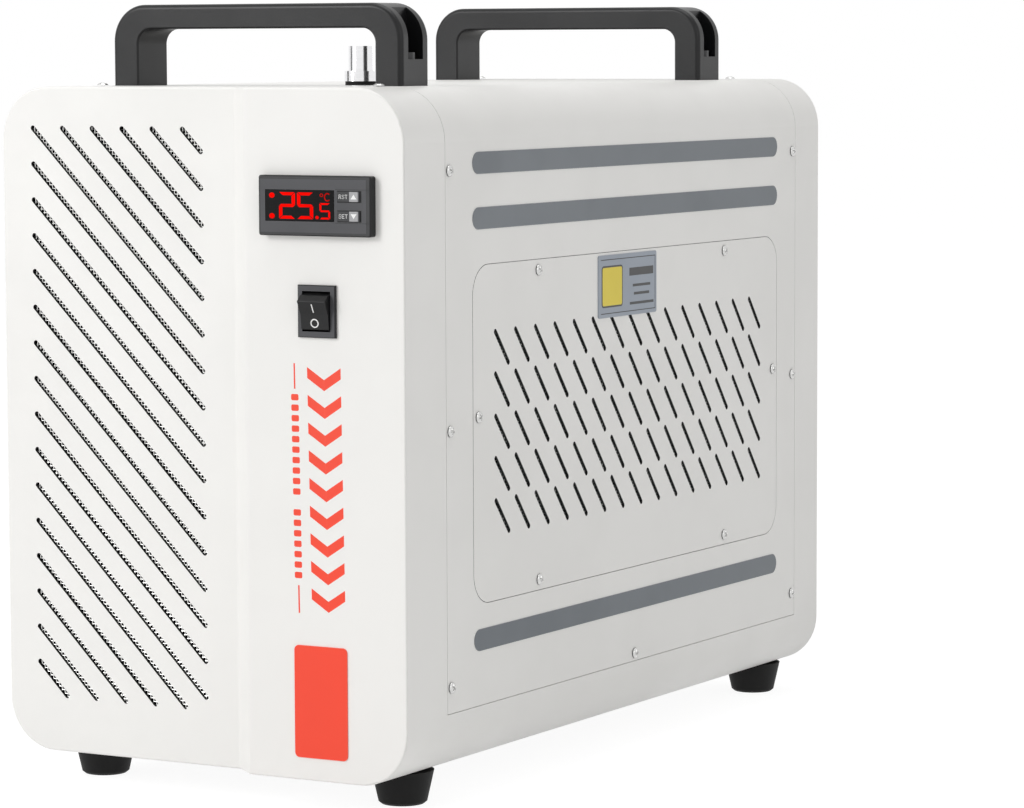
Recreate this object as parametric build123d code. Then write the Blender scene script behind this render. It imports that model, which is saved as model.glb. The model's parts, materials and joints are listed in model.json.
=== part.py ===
from build123d import *
import os
from math import cos, hypot, radians, sin

# Recirculating chiller: a steel casing on rubber feet round a tank, a pump and a cooling circuit.
# Sizes are in millimetres. +X is to the right seen from the front, +Y runs from the front to the
# back and +Z is up. Heights are counted from the underside of the casing and depths from the front
# plane, and up() and back() turn them into the part's own frame, whose origin lies under the middle.

# Casing
case_width = 290.0
case_height = 403.0
case_depth = 554.0
corner_radius = 32.0
sheet = 1.5
seam_gap = 0.4
fit_gap = 0.2
front_ring_depth = 45.9
rear_ring_depth = 36.4
sill_height = 36.9
lip_width = 14.0
lip_root = 8.0
edge_round = 1.2
cut_reach = 5.0
thread_past_nut = 1.0
edge_margin = 0.5

# Front panel: a slotted field that lies back from the control column, with a bevel between them
fascia_thickness = 2.0
grille_recess = 12.4
grille_width = 167.0
bevel_width = 14.3
bevel_round = 4.0
front_slot_width = 3.2
front_slot_pitch = 21.6
front_slot_left = 22.6
front_slot_right = 143.5
front_slot_bottom = 34.4
front_slot_top = 378.1

# Access panels in the sides of the cover
panel_centre = 283.0
panel_length = 411.0
panel_bottom = 97.7
panel_height = 200.5
panel_radius = 18.0
panel_frame_in = 12.0
panel_frame_out = 8.0
side_slot_length = 28.0
side_slot_width = 3.3
side_slot_lean = 51.0
side_slot_columns = 15
side_slot_rows = 5
side_slot_pitch = 24.44
side_slot_drop = 25.2

# Screens behind the slots
screen_thickness = 0.8
screen_rim = 7.0
screen_rim_depth = 3.0
screen_margin = 3.0
front_screen_border = 12.0

# Stripes, badge and side plate
stripe_length = 411.0
stripe_width = 13.0
stripe_thickness = 0.3
stripe_heights = (358.2, 325.7, 76.3)
badge_width = 36.0
badge_height = 66.0
badge_thickness = 0.6
badge_radius = 3.0
badge_x = 87.0
badge_bottom = 13.5
side_plate_length = 78.0
side_plate_height = 39.0
side_plate_thickness = 0.6
side_plate_radius = 1.5
side_plate_offset = -11.2
side_plate_top = 296.6

# Screws of the casing
screw_head_radius = 3.4
screw_head_height = 2.0
screw_crown_radius = 2.0
screw_radius = 1.6
screw_length = 8.0
screw_clearance = 0.15
cover_screw_inset = 4.9
cover_screw_top = 354.5
cover_screw_middle = 203.0
cover_screw_bottom = 52.5
sill_screw_rise = 5.2
top_screw_x = 98.0
panel_screw_inset = 6.3
panel_screw_pitch = 252.0
panel_screw_height = 208.7

# Feet
foot_height = 20.0
foot_top_radius = 18.7
foot_bottom_radius = 14.2
foot_x = 107.0
foot_front = 58.0
foot_rear = 531.0
foot_chamfer = 1.5
foot_recess_radius = 6.5
foot_recess_depth = 8.0
foot_screw_radius = 2.5
foot_screw_head_radius = 4.6
foot_screw_head_height = 3.0
foot_nut_radius = 4.6
foot_nut_height = 4.0

# Handles
handle_half_length = 102.7
handle_depth = 32.0
handle_height = 49.0
handle_leg = 18.5
handle_grip = 14.7
handle_outer_radius = 22.0
handle_inner_radius = 9.0
handle_round = 3.0
handle_front = 68.8
handle_rear = 455.9
handle_slot_width = 17.0
handle_slot_depth = 11.5
handle_slot_floor = 15.7
handle_bolt_radius = 2.5
handle_bolt_head_radius = 4.6
handle_bolt_head_height = 4.0
handle_nut_radius = 5.0
handle_nut_height = 4.5

# Controller in the front panel
bezel_width = 76.0
bezel_height = 34.8
bezel_proud = 5.5
bezel_round = 1.5
bezel_x = 88.0
bezel_z = 335.3
housing_width = 70.5
housing_height = 28.5
housing_depth = 62.0
window_width = 46.6
window_height = 17.9
window_depth = 1.2
window_x = -9.8
window_z = 0.1
button_width = 15.2
button_height = 6.4
button_depth = 3.4
button_proud = 0.9
button_travel = 0.8
button_gap = 0.25
button_chamfer = 0.4
button_x = 23.6
button_rise = 5.6

# Switch below the controller
switch_x = 86.7
switch_z = 274.4
switch_width = 25.5
switch_height = 30.4
switch_proud = 2.0
switch_opening_width = 19.2
switch_opening_height = 23.4
switch_body_width = 22.0
switch_body_height = 27.5
switch_body_depth = 24.0
switch_chamfer = 0.5
switch_well_gap = 1.0
switch_blade_x = 6.0
switch_blade_z = 8.0
switch_blade_thickness = 0.8
switch_blade_width = 6.3
switch_blade_length = 9.0
rocker_width = 18.6
rocker_tilt = 16.0
rocker_pivot_depth = 2.0
rocker_crest_height = 8.5
rocker_crest_reach = 8.0
rocker_valley = 1.5
rocker_end_height = 10.7
rocker_end_reach = 3.5
rocker_back = 2.5
rocker_round = 0.7
rocker_pin_radius = 1.4
rocker_pin_length = 0.9
pin_clearance = 0.06

# Rear panel and what it carries
rear_panel_recess = 3.5
rear_flange = 10.0
rear_reach = 19.5
rear_screw_inset = 6.0
fan_x = 0.0
fan_z = 240.0
fan_opening_radius = 104.0
guard_wire = 2.4
guard_stand_off = 5.0
guard_rings = 6
guard_spokes = 8
guard_plate_radius = 34.0
guard_reach = 4.0
barb_x = (-105.0, -60.0)
barb_z = 84.0
barb_radius = 5.0
barb_sleeve_radius = 5.5
barb_crest = 1.0
barb_inner_length = 24.0
barb_nut_radius = 11.0
barb_backnut_radius = 10.0
barb_lands = 3
barb_nut_height = 6.0
drain_x = -82.5
drain_z = 40.0
drain_radius = 7.0
drain_spout = 12.0
drain_collar = 2.0
drain_cap_radius = 9.5
drain_cap_wall = 1.7
nut_height = 4.0
drain_inner_length = 20.0
inlet_x = 88.0
inlet_z = 84.0
inlet_height = 46.0
inlet_flange = 2.5
inlet_flange_width = 31.5
inlet_flange_radius = 2.0
inlet_body_width = 27.5
inlet_body_height = 38.0
inlet_body_depth = 27.0
inlet_mouth_width = 22.0
inlet_mouth_height = 16.0
inlet_mouth_depth = 17.0
inlet_mouth_rise = 7.0
inlet_mouth_chamfer = 3.5
inlet_pin_length = 12.0
inlet_pin_width = 2.0
inlet_pin_height = 4.0
inlet_pins = ((-7.0, -1.5), (0.0, 1.5), (7.0, -1.5))
fuse_width = 20.0
fuse_height = 8.0
fuse_depth = 21.0
fuse_drop = -11.0
fuse_gap = 0.3
fuse_wall = 1.5
fuse_front_wall = 3.0
alarm_x = 32.0
alarm_z = 84.0
alarm_radius = 7.8
alarm_flange_radius = 11.0
alarm_flange = 2.5
alarm_spout = 9.0
alarm_inner_length = 18.0
alarm_bore = 6.0
alarm_bore_floor = -1.0
alarm_pin_x = 2.5
alarm_pin_radius = 0.9
alarm_pin_reach = 7.0

# Fan, shroud and condenser
shroud_width = 246.0
shroud_height = 246.0
shroud_wall = 2.0
shroud_front = 482.0
shroud_plate = 502.0
motor_radius = 32.0
rotor_radius = 38.0
rotor_wall = 3.0
rotor_front = 500.0
rotor_length = 42.0
rotor_gap = 1.5
shaft_radius = 4.0
shaft_clearance = 0.05
shaft_past_rotor = 2.0
blade_count = 5
blade_tip_radius = 98.0
blade_thickness = 2.4
blade_trim = 4.0
blade_root_chord = 42.0
blade_tip_chord = 66.0
blade_root_pitch = 42.0
blade_tip_pitch = 24.0
condenser_width = 236.0
condenser_height = 236.0
condenser_depth = 24.0
tube_depth = 16.0
header_radius = 9.0
tube_count = 13
tube_thickness = 2.4
fin_thickness = 0.8
fin_folds = 15

# Water tank
filler_x = 41.5
filler_y = 125.0
tank_width = 143.0
tank_depth = 120.0
tank_centre = 150.0
tank_top = 330.0
tank_wall = 2.5
tank_radius = 12.0
lid_thickness = 4.0
lid_overhang = 3.0
neck_radius = 7.0
neck_bore = 4.6
neck_spigot_radius = 6.0
neck_ring_radius = 11.0
neck_ring_height = 6.2
neck_foot_radius = 11.0
neck_foot_height = 3.0
gasket_radius = 10.6
gasket_height = 2.4
cap_radius = 8.5
cap_height = 15.0
cap_bore_gap = 0.3
cap_roof = 3.0
return_inset = 25.0
drain_stub_height = 16.0
stem_x = 75.0
stem_radius = 3.5
stem_length = 95.0
stem_stop_radius = 6.0
stem_stop_height = 2.0
stem_head_height = 8.0
stem_collar_height = 4.0
float_radius = 13.0
float_height = 18.0
float_gap = 0.4
float_rise = 15.0
float_play = 1.0

# Evaporator: a brazed stack of plates
evaporator_x = -80.0
evaporator_front = 240.0
evaporator_width = 64.0
evaporator_height = 190.0
evaporator_plates = 8
evaporator_plate = 1.2
evaporator_pitch = 3.6
evaporator_step = 1.6
evaporator_radius = 9.0
evaporator_port_x = 16.0
evaporator_port_low = 45.0
evaporator_port_high = 165.0

# Compressor
compressor_x = 52.0
compressor_y = 318.0
compressor_radius = 60.0
compressor_base = 20.0
compressor_height = 178.0
compressor_dome = 26.0
seam_height = 118.0
seam_width = 6.0
seam_proud = 1.5
mount_reach = 47.5
foot_plate_side = 119.0
mount_plate = 3.0
grommet_radius = 9.0
grommet_waist = 6.5
stud_radius = 3.0
stud_reach = 9.0
stud_nut_radius = 5.7
stud_nut_height = 5.0
washer_radius = 7.0
washer_height = 1.2
stub_radius = 4.0
suction_height = 120.0
terminal_height = 73.0
terminal_root = 54.0
terminal_proud = 16.0
terminal_width = 48.0
terminal_tall = 44.0
terminal_round = 4.0

# Pump
pump_x = -58.0
pump_y = 120.0
pump_z = 50.0
pump_motor_radius = 27.0
pump_motor_length = 46.0
pump_saddle_width = 34.0
pump_saddle_start = 6.0
pump_saddle_end = 18.0
volute_radius = 31.0
volute_depth = 24.0
volute_wall = 4.0
pump_outlet_rise = 48.0
impeller_radius = 24.0
impeller_disc = 3.0
impeller_vanes = 6
vane_height = 8.0
vane_thickness = 1.6
vane_root = 6.0
vane_lean = 9.0
vane_arc = 26.0
impeller_gap = 1.0
pump_shaft_radius = 3.0
pump_shaft_length = 22.0

# Small parts inside
stub_outer = 4.8
stub_bore = 3.2
stub_length = 12.0
hose_wall = 2.4
hose_gap = 0.1
hose_cover = 9.0
hose_bend = 26.0
supply_lead = 55.0
outlet_lead = 50.0
outlet_tail = 45.0
return_crown = 32.0
return_setback = 98.0
drain_bend = 18.0
drain_lane = 24.0
drain_lead = 22.0
drain_turn = 75.0
drain_cross = 105.0
drain_tail = 30.0
capacitor_x = 92.0
capacitor_y = 402.0
capacitor_radius = 20.0
capacitor_height = 68.0
capacitor_chamfer = 2.0
capacitor_blade_x = 7.0
capacitor_blade_thickness = 1.0
capacitor_blade_width = 6.0
capacitor_blade_height = 8.0
drier_x = 60.0
drier_y = 430.0
drier_base = 66.0
drier_radius = 9.5
drier_length = 70.0
pipe_radius = 3.2
pipe_socket = 1.0
capillary_radius = 1.3
pipe_bend = 13.0
discharge_crown = 30.0
liquid_drop = 20.0
capillary_crown = 20.0
capillary_lane = 30.0
suction_lane = 16.0

# Derived places
rocker_reach = (rocker_crest_reach * cos(radians(rocker_tilt))
                + rocker_crest_height * sin(radians(rocker_tilt)) - rocker_pivot_depth)
front_proud = max(bezel_proud, rocker_reach)
front_y = -(case_depth + rear_reach - front_proud) / 2
half_width = case_width / 2
front_seam = front_ring_depth
rear_seam = case_depth - rear_ring_depth
cover_centre = (front_seam + rear_seam) / 2
rear_face = case_depth - rear_panel_recess
rear_seat = rear_face - sheet
floor = sheet
evaporator_depth = evaporator_pitch * (evaporator_plates - 1) + evaporator_plate


def back(distance):
    """Y of a point at a distance behind the front plane."""
    return front_y + distance


def up(height):
    """Z of a point at a height above the underside of the casing."""
    return foot_height + height


def save(shape, name):
    """Write one sub-part."""
    export_step(shape, f"parts/{name}.step")


def group(shapes):
    """Separate solids of one sub-part."""
    return Compound(children=[solid for shape in shapes for solid in shape.solids()])


def block(x, y, z):
    """Box between two limits along each axis."""
    middle = Pos(sum(x) / 2, sum(y) / 2, sum(z) / 2)
    return middle * Box(x[1] - x[0], y[1] - y[0], z[1] - z[0])


def rod(radius, start, end):
    """Round bar from one point to another."""
    start, end = Vector(*start), Vector(*end)
    rise = (Align.CENTER, Align.CENTER, Align.MIN)
    return Plane(origin=start, z_dir=end - start) * Cylinder(radius, (end - start).length, align=rise)


def ring(outer, inner, start, end):
    """Round tube from one point to another."""
    return rod(outer, start, end) - rod(inner, start, end)


def pipe(points, radius, bend):
    """Bent bar: straight runs between the points, joined by arcs."""
    path = FilletPolyline(*points, radius=bend)
    section = Plane(origin=path @ 0, z_dir=path % 0) * Circle(radius)
    return sweep(section, path)


def front_plane(distance):
    """Plane facing the front, at a distance behind the front plane, with its x to the right."""
    return Plane(origin=(0, back(distance), 0), x_dir=(1, 0, 0), z_dir=(0, -1, 0))


def side_plane(side, depth, height, inset=0.0):
    """Plane on a side of the casing, facing outwards; side is 1 for the right and -1 for the left."""
    origin = (side * (half_width - inset), back(depth), up(height))
    return Plane(origin=origin, x_dir=(0, side, 0), z_dir=(side, 0, 0))


def along_y(face, start, end):
    """Solid with a given front view between two depths."""
    return extrude(front_plane(end) * face, end - start)


def outline(inset=0.0):
    """Front view of the casing, drawn inwards from its skin."""
    shape = RectangleRounded(case_width - 2 * inset, case_height - 2 * inset, corner_radius - inset)
    return Pos(0, up(case_height / 2)) * shape


def skin(outer, inner, start, end):
    """Wall that follows the casing's outline between two depths."""
    return along_y(outline(outer) - outline(inner), start, end)


def front_profile(shift):
    """Plan of the front surface from left to right, moved back by a distance."""
    bevel_left = -half_width + grille_width
    return [
        (-half_width, back(grille_recess + shift)),
        (bevel_left, back(grille_recess + shift)),
        (bevel_left + bevel_width, back(shift)),
        (half_width, back(shift)),
    ]


def front_space(shift):
    """Everything in front of the front surface moved back by a distance."""
    ahead = back(-2 * grille_recess)
    points = front_profile(shift) + [(half_width, ahead), (-half_width, ahead)]
    plan = make_face(Polyline(*points, close=True))
    corners = [v for v in plan.vertices() if abs(v.X) < half_width - 1]
    return extrude(fillet(corners, bevel_round), up(case_height) + 1)


def chassis_shell():
    """Floor, sills and the two end rings, with the lip that the cover is screwed to."""
    wall = skin(0, sheet, 0, case_depth)
    window = block((-case_width, case_width), (back(front_seam), back(rear_seam)),
                   (up(sill_height), up(case_height + 1)))
    shell = wall - window
    lip = skin(sheet + fit_gap, 2 * sheet + fit_gap, front_seam - lip_root, rear_seam + lip_root)
    root = skin(sheet, 2 * sheet + fit_gap, front_seam - lip_root, rear_seam + lip_root)
    wide = (-case_width, case_width)
    tall = (up(sill_height - lip_root), up(case_height))
    sides = [
        (block(wide, (back(front_seam - lip_root), back(front_seam)), tall),
         block(wide, (back(front_seam), back(front_seam + lip_width)), tall)),
        (block(wide, (back(rear_seam), back(rear_seam + lip_root)), tall),
         block(wide, (back(rear_seam - lip_width), back(rear_seam)), tall)),
        (block(wide, (back(front_seam), back(rear_seam)), (up(sill_height - lip_root), up(sill_height))),
         block(wide, (back(front_seam), back(rear_seam)), (up(sill_height), up(sill_height + lip_width)))),
    ]
    for root_zone, lip_zone in sides:
        shell += root & root_zone
        shell += lip & lip_zone
    shell += skin(sheet, sheet + rear_flange, rear_seat - sheet, rear_seat)
    shell -= front_space(fascia_thickness)
    return shell - screw_holes() - foot_holes()


def front_slots():
    """Slots of the front panel: lines at 45 degrees that fill one upright field."""
    field_width = front_slot_right - front_slot_left
    field_height = front_slot_top - front_slot_bottom
    across = int(field_width / front_slot_pitch)
    down = int(field_height / front_slot_pitch)
    slots = []
    for step in range(-down, across + 1):
        start_x = max(step, 0) * front_slot_pitch
        start_z = max(-step, 0) * front_slot_pitch
        run = min(field_width - start_x, field_height - start_z)
        middle = Pos(-half_width + front_slot_left + start_x + run / 2,
                     up(front_slot_top - start_z - run / 2))
        length = hypot(run, run)
        slots.append(middle * SlotCenterToCenter(length, front_slot_width, rotation=-45))
    return slots


def front_fascia():
    """Front panel in one pressing, from the slotted field over the bevel to the control column."""
    body = along_y(outline(), 0, grille_recess + fascia_thickness) & front_space(fascia_thickness)
    body -= front_space(0)
    body = fillet([e for e in body.edges() if on_rim(e)], edge_round)
    body -= along_y(Sketch() + front_slots(), 0, 2 * grille_recess)
    body -= along_y(Pos(bezel_x, up(bezel_z)) * housing_cutout(fit_gap), -1, grille_recess)
    body -= along_y(Pos(switch_x, up(switch_z)) * switch_cutout(fit_gap), -1, grille_recess)
    return body


def front_line(x):
    """Y of the front surface at a given x."""
    past_bevel = min(max((x + half_width - grille_width) / bevel_width, 0), 1)
    return back(grille_recess * (1 - past_bevel))


def on_rim(edge):
    """Whether an edge runs where the front surface meets the casing's outline."""
    middle = edge @ 0.5
    reach_x = half_width - abs(middle.X)
    reach_z = case_height / 2 - abs(middle.Z - up(case_height / 2))
    corner = hypot(max(corner_radius - reach_x, 0), max(corner_radius - reach_z, 0))
    outside = min(reach_x, reach_z) < 0.01 or abs(corner - corner_radius) < 0.01
    return outside and abs(middle.Y - front_line(middle.X)) < fascia_thickness / 2


def housing_cutout(gap):
    """Opening for the controller's housing, seen from the front."""
    return Rectangle(housing_width + 2 * gap, housing_height + 2 * gap)


def switch_cutout(gap):
    """Opening for the switch's body, seen from the front."""
    return Rectangle(switch_body_width + 2 * gap, switch_body_height + 2 * gap)


def panel_outline(grow=0.0):
    """Side view of an access panel about its own centre."""
    return RectangleRounded(panel_length + 2 * grow, panel_height + 2 * grow, panel_radius + grow)


def panel_plane(side, inset=0.0):
    """Plane at the centre of an access panel."""
    return side_plane(side, panel_centre, panel_bottom + panel_height / 2, inset)


def top_cover():
    """Cover folded over the top and both sides, with a stepped frame round each access panel."""
    body = skin(0, sheet, front_seam + seam_gap, rear_seam - seam_gap)
    body -= block((-case_width, case_width), (back(0), back(case_depth)),
                  (up(-1), up(sill_height + seam_gap)))
    frame = panel_outline(panel_frame_out) - panel_outline(-panel_frame_in)
    for side in (1, -1):
        body -= extrude(panel_plane(side, sheet + 1) * panel_outline(seam_gap), sheet + 2)
        body += extrude(panel_plane(side, 2 * sheet) * frame, sheet)
    low, high = case_height - cut_reach, case_height + cut_reach
    body -= rod(neck_radius + fit_gap, filler_point(low), filler_point(high))
    for x, y in handle_bolt_places():
        body -= rod(handle_bolt_radius + screw_clearance, (x, y, up(low)), (x, y, up(high)))
    return body - screw_holes()


def side_slots():
    """Leaning slots of an access panel, in rows and columns about its centre."""
    grid = GridLocations(side_slot_pitch, side_slot_drop, side_slot_columns, side_slot_rows)
    slot = SlotOverall(side_slot_length, side_slot_width, rotation=-side_slot_lean)
    return Sketch() + [place * slot for place in grid]


def access_panel(side):
    """Flush side panel with its field of slots."""
    face = panel_outline() - side_slots()
    panel = extrude(panel_plane(side, sheet) * face, sheet)
    return panel - screw_holes()


def side_screen(side):
    """Dust screen behind an access panel: a thin sheet in a rim."""
    length = panel_length - 2 * (panel_frame_in + screen_margin)
    height = panel_height - 2 * (panel_frame_in + screen_margin)
    sheet_face = Rectangle(length, height)
    rim_face = sheet_face - Rectangle(length - 2 * screen_rim, height - 2 * screen_rim)
    screen = extrude(panel_plane(side, sheet) * sheet_face, -screen_thickness)
    return screen + extrude(panel_plane(side, sheet) * rim_face, -screen_rim_depth)


def front_screen():
    """Dust screen behind the slotted field of the front panel."""
    left = -half_width + front_slot_left - front_screen_border
    right = -half_width + front_slot_right + front_screen_border
    low = up(front_slot_bottom - front_screen_border)
    high = up(front_slot_top + front_screen_border)
    start = back(grille_recess + fascia_thickness)
    screen = block((left, right), (start, start + screen_thickness), (low, high))
    rim = block((left, right), (start, start + screen_rim_depth), (low, high))
    rim -= block((left + screen_rim, right - screen_rim), (start - 1, start + 2 * screen_rim_depth),
                 (low + screen_rim, high - screen_rim))
    return screen + rim


def cover_screw_places():
    """Planes of the screws along the edges of the cover and in its top."""
    places = []
    front = front_seam + cover_screw_inset
    rear = rear_seam - cover_screw_inset
    for side in (1, -1):
        for depth in (front, rear):
            for height in (cover_screw_bottom, cover_screw_middle, cover_screw_top):
                places.append(side_plane(side, depth, height))
        places.append(side_plane(side, cover_centre, sill_height + sill_screw_rise))
        for depth in (front, rear):
            places.append(Plane(origin=(side * top_screw_x, back(depth), up(case_height))))
    return places


def panel_screw_places():
    """Planes of the screws round both access panels."""
    places = []
    low = panel_bottom + panel_screw_inset
    high = panel_bottom + panel_height - panel_screw_inset
    for side in (1, -1):
        for shift in (-panel_screw_pitch / 2, panel_screw_pitch / 2):
            for height in (low, high):
                places.append(side_plane(side, panel_centre + shift, height))
        for shift in (panel_screw_inset - panel_length / 2, panel_length / 2 - panel_screw_inset):
            places.append(side_plane(side, panel_centre + shift, panel_screw_height))
    return places


def rear_screw_places():
    """Planes of the screws round the rear panel, facing backwards."""
    reach_x = half_width - sheet - rear_screw_inset
    reach_z = case_height / 2 - sheet - rear_screw_inset
    spots = [(side * reach_x, level * reach_z / 2) for side in (1, -1) for level in (-1, 1)]
    spots += [(side * reach_x / 2, level * reach_z) for side in (1, -1) for level in (-1, 1)]
    return [Plane(origin=(x, back(rear_face), up(case_height / 2 + z)), x_dir=(-1, 0, 0), z_dir=(0, 1, 0))
            for x, z in spots]


def all_screw_places():
    """Every casing screw."""
    return cover_screw_places() + panel_screw_places() + rear_screw_places()


def screw_holes():
    """Clearance holes for all casing screws."""
    hole = Cylinder(screw_radius + screw_clearance, 2 * screw_length + 2)
    return group([place * hole for place in all_screw_places()])


def casing_screws():
    """Pan-head screws of the casing."""
    rise = (Align.CENTER, Align.CENTER, Align.MIN)
    fall = (Align.CENTER, Align.CENTER, Align.MAX)
    head = Cone(screw_head_radius, screw_crown_radius, screw_head_height, align=rise)
    screw = head + Cylinder(screw_radius, screw_length, align=fall)
    return group([place * screw for place in all_screw_places()])


def side_stripes():
    """Flat bands with round ends along both sides."""
    band = SlotOverall(stripe_length, stripe_width)
    return group([extrude(side_plane(side, panel_centre, height) * band, stripe_thickness)
                  for side in (1, -1) for height in stripe_heights])


def front_badge():
    """Plain plate at the foot of the control column."""
    face = RectangleRounded(badge_width, badge_height, badge_radius)
    return along_y(Pos(badge_x, up(badge_bottom + badge_height / 2)) * face, -badge_thickness, 0)


def side_plate():
    """Plain plate on the right access panel, over the ends of the uppermost slots."""
    plane = side_plane(1, panel_centre + side_plate_offset, side_plate_top - side_plate_height / 2)
    face = RectangleRounded(side_plate_length, side_plate_height, side_plate_radius)
    return extrude(plane * face, side_plate_thickness)


def foot_places():
    """Centres of the feet by name."""
    return {
        "foot_front_left": (-foot_x, back(foot_front)),
        "foot_front_right": (foot_x, back(foot_front)),
        "foot_rear_left": (-foot_x, back(foot_rear)),
        "foot_rear_right": (foot_x, back(foot_rear)),
    }


def foot(x, y):
    """Tapered rubber foot with a recess for its screw."""
    rise = (Align.CENTER, Align.CENTER, Align.MIN)
    body = Cone(foot_bottom_radius, foot_top_radius, foot_height, align=rise)
    body = chamfer(body.edges().group_by(Axis.Z)[0], foot_chamfer)
    body -= Cylinder(foot_recess_radius, foot_recess_depth, align=rise)
    body -= Cylinder(foot_screw_radius + screw_clearance, foot_height, align=rise)
    return Pos(x, y, 0) * body


def foot_holes():
    """Holes in the floor for the screws of the feet."""
    return group([rod(foot_screw_radius + screw_clearance, (x, y, up(-1)), (x, y, up(sheet + cut_reach)))
                  for x, y in foot_places().values()])


def foot_screws():
    """Screws of the feet, each with its nut on the floor."""
    screws = []
    for x, y in foot_places().values():
        top = up(floor + foot_nut_height)
        head = foot_recess_depth - foot_screw_head_height
        screw = rod(foot_screw_radius, (x, y, head), (x, y, top + thread_past_nut))
        screw += rod(foot_screw_head_radius, (x, y, head), (x, y, foot_recess_depth))
        screw += extrude(Pos(x, y, up(floor)) * RegularPolygon(foot_nut_radius, 6), foot_nut_height)
        screws.append(screw)
    return group(screws)


def handle_shape():
    """Front view of a handle: a flat arch with round corners, standing on the cover."""
    outer = Pos(0, handle_height / 2 - handle_outer_radius) * RectangleRounded(
        2 * handle_half_length, handle_height + 2 * handle_outer_radius, handle_outer_radius)
    gap_height = handle_height - handle_grip
    inner = Pos(0, gap_height / 2 - handle_inner_radius) * RectangleRounded(
        2 * (handle_half_length - handle_leg), gap_height + 2 * handle_inner_radius, handle_inner_radius)
    above = Pos(0, handle_height / 2) * Rectangle(2 * handle_half_length, handle_height)
    return (outer - inner) & above


def handle(start):
    """Moulded carrying handle with a screw slot in each end."""
    body = along_y(Pos(0, up(case_height)) * handle_shape(), start, start + handle_depth)
    faces = body.faces().filter_by(Axis.Y)
    foot = up(case_height) + edge_margin
    edges = [e for e in faces.edges() if e.center().Z > foot]
    inner_reach = handle_half_length - handle_leg + edge_margin
    grip_bottom = up(case_height + handle_height - handle_grip)
    outer = [e for e in edges if abs(e.center().X) > inner_reach or e.center().Z > grip_bottom + edge_margin]
    body = fillet(outer, handle_round)
    inner = [e for e in body.faces().filter_by(Axis.Y).edges()
             if abs(e.center().X) < inner_reach and foot < e.center().Z < grip_bottom + edge_margin]
    body = chamfer(inner, handle_round / 3)
    middle = back(start + handle_depth / 2)
    for side in (1, -1):
        ends = sorted(side * (handle_half_length + reach) for reach in (-handle_slot_depth, cut_reach))
        body -= block(ends, (middle - handle_slot_width / 2, middle + handle_slot_width / 2),
                      (up(case_height + handle_slot_floor), up(case_height + handle_height + cut_reach)))
    for x, y in handle_bolt_places():
        body -= rod(handle_bolt_radius + screw_clearance, (x, y, up(case_height - 1)),
                    (x, y, up(case_height + handle_slot_floor + 1)))
    return body


def handle_bolt_places():
    """Centres of the handle bolts, in the slots of the handles' ends."""
    x = handle_half_length - handle_slot_depth / 2
    return [(side * x, back(start + handle_depth / 2))
            for start in (handle_front, handle_rear) for side in (1, -1)]


def handle_bolts():
    """Bolts through the handles' legs and the cover, with nuts below."""
    bolts = []
    for x, y in handle_bolt_places():
        seat = up(case_height + handle_slot_floor)
        nut_top = up(case_height - sheet)
        bolt = rod(handle_bolt_head_radius, (x, y, seat), (x, y, seat + handle_bolt_head_height))
        bolt += rod(handle_bolt_radius, (x, y, nut_top - handle_nut_height - thread_past_nut),
                    (x, y, seat + 1))
        bolt += extrude(Pos(x, y, nut_top) * RegularPolygon(handle_nut_radius, 6), -handle_nut_height)
        bolts.append(bolt)
    return group(bolts)


def controller_body():
    """Digital controller: a bezel in front of the panel and a housing behind it."""
    centre = Pos(bezel_x, up(bezel_z))
    bezel = along_y(centre * RectangleRounded(bezel_width, bezel_height, bezel_round), -bezel_proud, 0)
    front = bezel.faces().sort_by(Axis.Y)[0]
    bezel = chamfer(front.edges(), bezel_round / 2)
    body = bezel + along_y(centre * housing_cutout(0), 0, housing_depth)
    window = Rectangle(window_width + 2 * fit_gap, window_height + 2 * fit_gap)
    body -= along_y(centre * Pos(window_x, window_z) * window, -bezel_proud - 1, window_depth - bezel_proud)
    pocket = Rectangle(button_width + 2 * button_gap, button_height + 2 * button_gap)
    for rise in (button_rise, -button_rise):
        body -= along_y(centre * Pos(button_x, rise) * pocket, -bezel_proud - 1,
                        button_depth - button_proud + button_travel + button_gap - bezel_proud)
    return body


def display_window():
    """Smoked window over the digits."""
    face = Pos(bezel_x + window_x, up(bezel_z + window_z)) * Rectangle(window_width, window_height)
    return along_y(face, -bezel_proud, window_depth - bezel_proud)


def button(rise):
    """Push button of the controller."""
    face = Pos(bezel_x + button_x, up(bezel_z + rise)) * Rectangle(button_width, button_height)
    front = -bezel_proud - button_proud
    body = along_y(face, front, front + button_depth)
    return chamfer(body.faces().sort_by(Axis.Y)[0].edges(), button_chamfer)


def switch_frame():
    """Bezel and body of the rocker switch, with its contact blades at the back."""
    centre = Pos(switch_x, up(switch_z))
    bezel = along_y(centre * Rectangle(switch_width, switch_height), -switch_proud, 0)
    bezel = chamfer(bezel.faces().sort_by(Axis.Y)[0].edges(), switch_chamfer)
    body = bezel + along_y(centre * switch_cutout(0), 0, switch_body_depth)
    well = Rectangle(switch_opening_width, switch_opening_height)
    well_depth = rocker_pivot_depth + rocker_back + rocker_end_height * sin(radians(rocker_tilt))
    body -= along_y(centre * well, -switch_proud - 1, well_depth + switch_well_gap)
    pivot = (switch_x, back(rocker_pivot_depth), up(switch_z))
    reach = switch_opening_width / 2 + rocker_pin_length
    body -= rod(rocker_pin_radius + pin_clearance, (pivot[0] - reach, *pivot[1:]),
                (pivot[0] + reach, *pivot[1:]))
    blade = Rectangle(switch_blade_thickness, switch_blade_width)
    for x in (-switch_blade_x, switch_blade_x):
        for z in (-switch_blade_z, switch_blade_z):
            body += along_y(centre * Pos(x, z) * blade, switch_body_depth,
                            switch_body_depth + switch_blade_length)
    return body


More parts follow.
